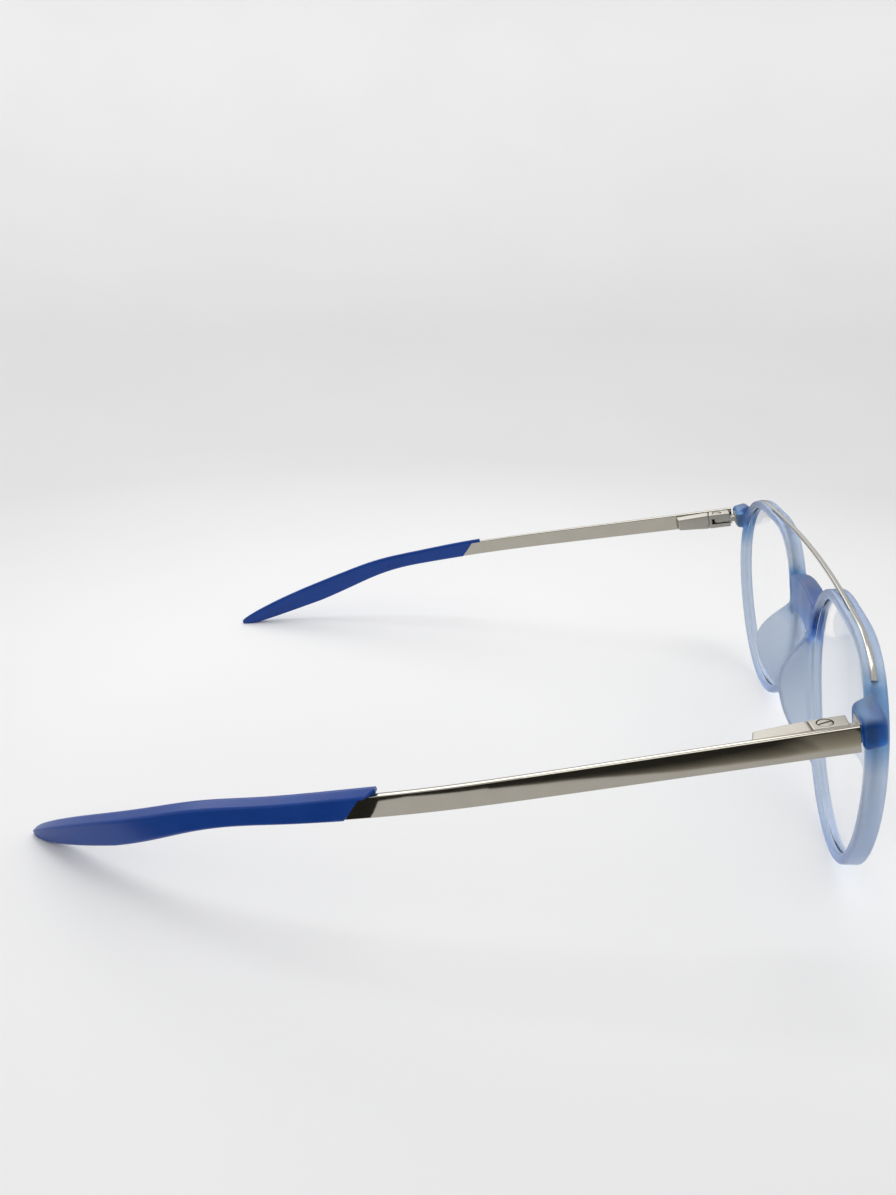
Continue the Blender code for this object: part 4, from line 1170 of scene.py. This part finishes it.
def tip_runs():
    """Even stations to the heel, then closer and closer ones round the nose."""
    lip = SHOULDER_TOP - TIP_LIP
    runs = [lip + (HEEL_AT - lip) * step / TIP_STATIONS for step in range(TIP_STATIONS)]
    for step in range(NOSE_STATIONS):
        runs.append(HEEL_AT + NOSE_LENGTH * math.sin(0.5 * math.pi * step / NOSE_STATIONS))
    return runs


def skin(shape, rings):
    """Skins a row of equal rings of points and caps both ends."""
    rows = [[shape.verts.new(point) for point in ring] for ring in rings]
    for row, following in zip(rows, rows[1:]):
        for i in range(len(row)):
            shape.faces.new((row[i - 1], row[i], following[i], following[i - 1]))
    shape.faces.new(rows[0])
    shape.faces.new(reversed(rows[-1]))
    return shape


def mouth_cutter(name, side):
    """A slanted prism like the arm's shoulder, below the top lip."""
    slope = SHOULDER_SLANT / ARM_HEIGHT_REAR
    half = ARM_HEIGHT_REAR / 2
    roof = half + LIP_GAP
    floor_up = -2 * half
    top_end = SHOULDER_TOP + MOUTH_GAP
    outline = [(ARM_FRONT, floor_up), (ARM_FRONT, roof), (top_end - slope * LIP_GAP, roof),
               (top_end + slope * (half - floor_up), floor_up)]
    reach = (-MOUTH_CUT_REACH, MOUTH_CUT_REACH)
    rings = [[on_path(run, out, up, side) for run, up in outline] for out in reach]
    return shape_object("mouth", skin(bmesh.new(), rings), TEMPLES[name])


def lip_cutter(name, side):
    """Rounds the top lip to a blunt tongue at its inner edge, as seen from above."""
    half = TIP_WIDTH / 2
    front_end = SHOULDER_TOP - TIP_LIP
    outline = [(ARM_FRONT, half * 2), (ARM_FRONT, half * LIP_INSET)]
    for step in range(LIP_STEPS + 1):
        share = step / LIP_STEPS
        sweep = LIP_SWEEP * math.sin(0.5 * math.pi * share) ** LIP_ROUNDNESS
        outline.append((front_end + TIP_LIP * share, half * (LIP_INSET + sweep)))
    outline.append((SHOULDER_TOP, half * 2))
    low = ARM_HEIGHT_REAR / 2 + LIP_GAP - LIP_CUT_OVERLAP
    rings = [[on_path(run, ARM_MIDDLE + out, up, side) for run, out in outline] for up in (low, LIP_CUT_ROOF)]
    return shape_object("lip", skin(bmesh.new(), rings), TEMPLES[name])


def bore_cutter(name, side):
    """The room for the arm's core, a little wider and longer than the core."""
    points = stretch_points(SHOULDER_TOP - BORE_OVERLAP, CORE_END + BORE_END_GAP, side)
    return strip("bore", points, TEMPLES[name], MATT_BLUE, Height=CORE_HEIGHT + BORE_PLAY,
                 Thickness=CORE_THICKNESS + BORE_PLAY, Edge=ARM_EDGE, End_share=1.0, Slant_length=MM)


print("tip skinned at", TIP_STATIONS + NOSE_STATIONS, "stations")


# %% Temple tips
def make_tip(name, side):
    """The skinned sleeve, flat where it stands on the table, with its mouth, lip and bore cut."""
    rings = [tip_ring(run, side) for run in tip_runs()]
    tip = plain_piece(shape_object("tip_" + name, skin(bmesh.new(), rings), TEMPLES[name]), "tip_" + name)
    for vertex in tip.data.vertices:
        vertex.co.z = max(vertex.co.z, 0.0)
    tip = cut(tip, mouth_cutter(name, side))
    tip = cut(tip, lip_cutter(name, side))
    tip = cut(tip, bore_cutter(name, side))
    tip.name = "tip_sleeve_" + name
    return tip


for name, side in SIDES.items():
    tip = make_tip(name, side)
    hand_over(tip, "temple_" + name, "temple_tip_" + name, MATT_BLUE, angle=40.0)

# %% [markdown]
# ## The hinge
# The small hinge parts keep the construction's shapes, but real metal has no knife edges. A fine bevel on
# each edge catches the light. Flat faces are first cleared of the lines that cutting left on them.

# %% Hinge pieces
FINE_EDGE = 0.05 * MM
MOUTH_STEP = 0.2 * MM
MOUTH_BAND = 0.1 * MM
FLAT_ANGLE = math.radians(1.0)
EDGE_ANGLE = math.radians(50.0)


def eased_copy(node, name):
    """A copy of a node with clean flats and finely rounded edges."""
    thing = node_copy(node, name + "_rough")
    clean = thing.modifiers.new("clean_flats", "DECIMATE")
    clean.decimate_type = "DISSOLVE"
    clean.angle_limit = FLAT_ANGLE
    edges = thing.modifiers.new("fine_edges", "BEVEL")
    edges.width = FINE_EDGE
    edges.segments = 2
    edges.limit_method = "ANGLE"
    edges.angle_limit = EDGE_ANGLE
    edges.use_clamp_overlap = True
    return plain_piece(thing, name)


def close_gap(piece, name):
    """Brings the spring box's mouth close up to the slider."""
    rod = Vector(joints["travel_" + name]["axis"])
    mouth = min(vertex.co.dot(rod) for vertex in piece.data.vertices)
    for vertex in piece.data.vertices:
        if vertex.co.dot(rod) < mouth + MOUTH_BAND:
            vertex.co -= rod * MOUTH_STEP


HINGE_NODES = {"hinge_leaf_": ("hinge_tongue_", "front"), "hinge_slider_": ("hinge_knuckle_", "slider_"),
               "spring_housing_": ("spring_box_", "temple_"), "spring_collar_": ("rod_bush_", "temple_"),
               "spring_stop_": ("rod_stop_", "slider_")}
for node, (piece_name, body) in HINGE_NODES.items():
    for name in SIDES:
        rider = body if body == "front" else body + name
        piece = eased_copy(node + name, piece_name + name)
        if node == "spring_housing_":
            close_gap(piece, name)
        hand_over(piece, rider, node + name, NICKEL, angle=50.0)

# %% [markdown]
# ## The hinge screws
# A slotted screw is a turned shape: its outline is spun about the pin's axis, and a thin bar cuts the
# slot into its head. The rim of the head is eased, so a bright ring shows round it.

# %% Hinge screws
SCREW_TOP = 1.9 * MM
SCREW_RADIUS = 0.6 * MM
HEAD_RADIUS = 1.1 * MM
HEAD_HEIGHT = 0.45 * MM
HEAD_EDGE = 0.14 * MM
HEAD_DOME = 0.02 * MM
EDGE_STEPS = 4
FOOT_INSET = 0.1 * MM
FOOT_BEVEL = 0.15 * MM
SCREW_TURNS = 48
SLOT_WIDTH = 0.35 * MM
SLOT_DEPTH = 0.24 * MM
SLOT_TURN = math.radians(75.0)


def screw_outline():
    """Half of the screw's section: a faintly domed head with an eased rim, a shank and a bevelled foot."""
    under = SCREW_TOP - HEAD_HEIGHT
    low = FOOT_INSET - SCREW_TOP
    outline = [(0.0, SCREW_TOP), (HEAD_RADIUS - 2 * HEAD_EDGE, SCREW_TOP - HEAD_DOME / 2)]
    for step in range(EDGE_STEPS + 1):
        angle = 0.5 * math.pi * step / EDGE_STEPS
        outline.append((HEAD_RADIUS - HEAD_EDGE + HEAD_EDGE * math.sin(angle),
                        SCREW_TOP - HEAD_DOME - HEAD_EDGE + HEAD_EDGE * math.cos(angle)))
    outline += [(HEAD_RADIUS, under), (SCREW_RADIUS, under), (SCREW_RADIUS, low + FOOT_BEVEL),
                (SCREW_RADIUS - FOOT_BEVEL, low), (0.0, low)]
    return outline


def make_screw(name, side):
    """The spun outline with a slot cut across its head."""
    shape = bmesh.new()
    spin_outline(shape, screw_outline(), SCREW_TURNS)
    screw = plain_piece(shape_object("screw_" + name, shape, PINS[name]), "screw_" + name)
    slot = bmesh.new()
    size = Matrix.Diagonal((4 * HEAD_RADIUS, SLOT_WIDTH, 2 * SLOT_DEPTH, 1.0))
    place = Matrix.Translation((0, 0, SCREW_TOP)) @ Matrix.Rotation(SLOT_TURN * side, 4, "Z") @ size
    bmesh.ops.create_cube(slot, size=1.0, matrix=place)
    screw = cut(screw, shape_object("slot", slot, PINS[name]))
    screw.name = "slotted_screw_" + name
    return screw


for name, side in SIDES.items():
    screw = make_screw(name, side)
    hand_over(screw, "screw_" + name, "hinge_screw_" + name, NICKEL, angle=40.0)

# %% [markdown]
# ## The springs
# Inside each box a coil sits round the rod, between the bush and the stop. A spiral curve with a round
# section, as a small node tree, gives an even coil. When a temple is pushed out, the stop comes closer and
# squeezes the coil; the piece here rides with the temple and keeps its length.


# %% Spring tree
def spring_tree():
    """A coil of wire with its turns, radius, length and wire as inputs."""
    tree = bpy.data.node_groups.new("coil_spring", "GeometryNodeTree")
    for name, kind in (("Turns", "Float"), ("Radius", "Float"), ("Length", "Float"), ("Wire", "Float"),
                       ("Finish", "Material")):
        tree.interface.new_socket(name, in_out="INPUT", socket_type="NodeSocket" + kind)
    tree.interface.new_socket("Coil", in_out="OUTPUT", socket_type="NodeSocketGeometry")
    sizes = tree.nodes.new("NodeGroupInput").outputs
    spiral = add_node(tree, "GeometryNodeCurveSpiral", Resolution=32)
    tree.links.new(sizes["Turns"], spiral.inputs["Rotations"])
    tree.links.new(sizes["Radius"], spiral.inputs["Start Radius"])
    tree.links.new(sizes["Radius"], spiral.inputs["End Radius"])
    tree.links.new(sizes["Length"], spiral.inputs["Height"])
    section = add_node(tree, "GeometryNodeCurvePrimitiveCircle", Resolution=10)
    tree.links.new(sizes["Wire"], section.inputs["Radius"])
    sweep = add_node(tree, "GeometryNodeCurveToMesh", Fill_Caps=True)
    tree.links.new(spiral.outputs["Curve"], sweep.inputs["Curve"])
    tree.links.new(section.outputs["Curve"], sweep.inputs["Profile Curve"])
    whole = add_node(tree, "GeometryNodeRealizeInstances")
    tree.links.new(sweep.outputs["Mesh"], whole.inputs["Geometry"])
    coat = add_node(tree, "GeometryNodeSetMaterial")
    tree.links.new(whole.outputs["Geometry"], coat.inputs["Geometry"])
    tree.links.new(sizes["Finish"], coat.inputs["Material"])
    out = tree.nodes.new("NodeGroupOutput")
    tree.links.new(coat.outputs["Geometry"], out.inputs["Coil"])
    return tree


SPRING_TREE = spring_tree()
print("spring tree", len(SPRING_TREE.nodes), "nodes")

# %% Springs
SPRING_START = 3.9 * MM
SPRING_END = 8.1 * MM
SPRING_TURNS = 7.0
SPRING_RADIUS = 0.8 * MM
SPRING_WIRE = 0.13 * MM
SPRING_LENGTH = SPRING_END - SPRING_START


def make_spring(name):
    """A coil that starts on the pin's side and runs along the rod."""
    thing = bpy.data.objects.new("spring_" + name, bpy.data.meshes.new("spring_" + name))
    bpy.context.scene.collection.objects.link(thing)
    along_rod = Matrix.Translation((0, SPRING_START, 0)) @ Matrix.Rotation(-math.pi / 2, 4, "X")
    thing.matrix_world = PINS[name] @ along_rod
    modifier = thing.modifiers.new("coil", "NODES")
    modifier.node_group = SPRING_TREE
    sizes = {"Turns": SPRING_TURNS, "Radius": SPRING_RADIUS, "Length": SPRING_LENGTH, "Wire": SPRING_WIRE,
             "Finish": SPRING_STEEL}
    for item in SPRING_TREE.interface.items_tree:
        if item.in_out == "INPUT":
            modifier[item.identifier] = sizes[item.name]
    return plain_piece(thing, "coil_spring_" + name)


for name in SIDES:
    spring = hand_over(make_spring(name), "temple_" + name, "hinge_spring_" + name,
                       SPRING_STEEL, angle=60.0)
    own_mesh(spring)
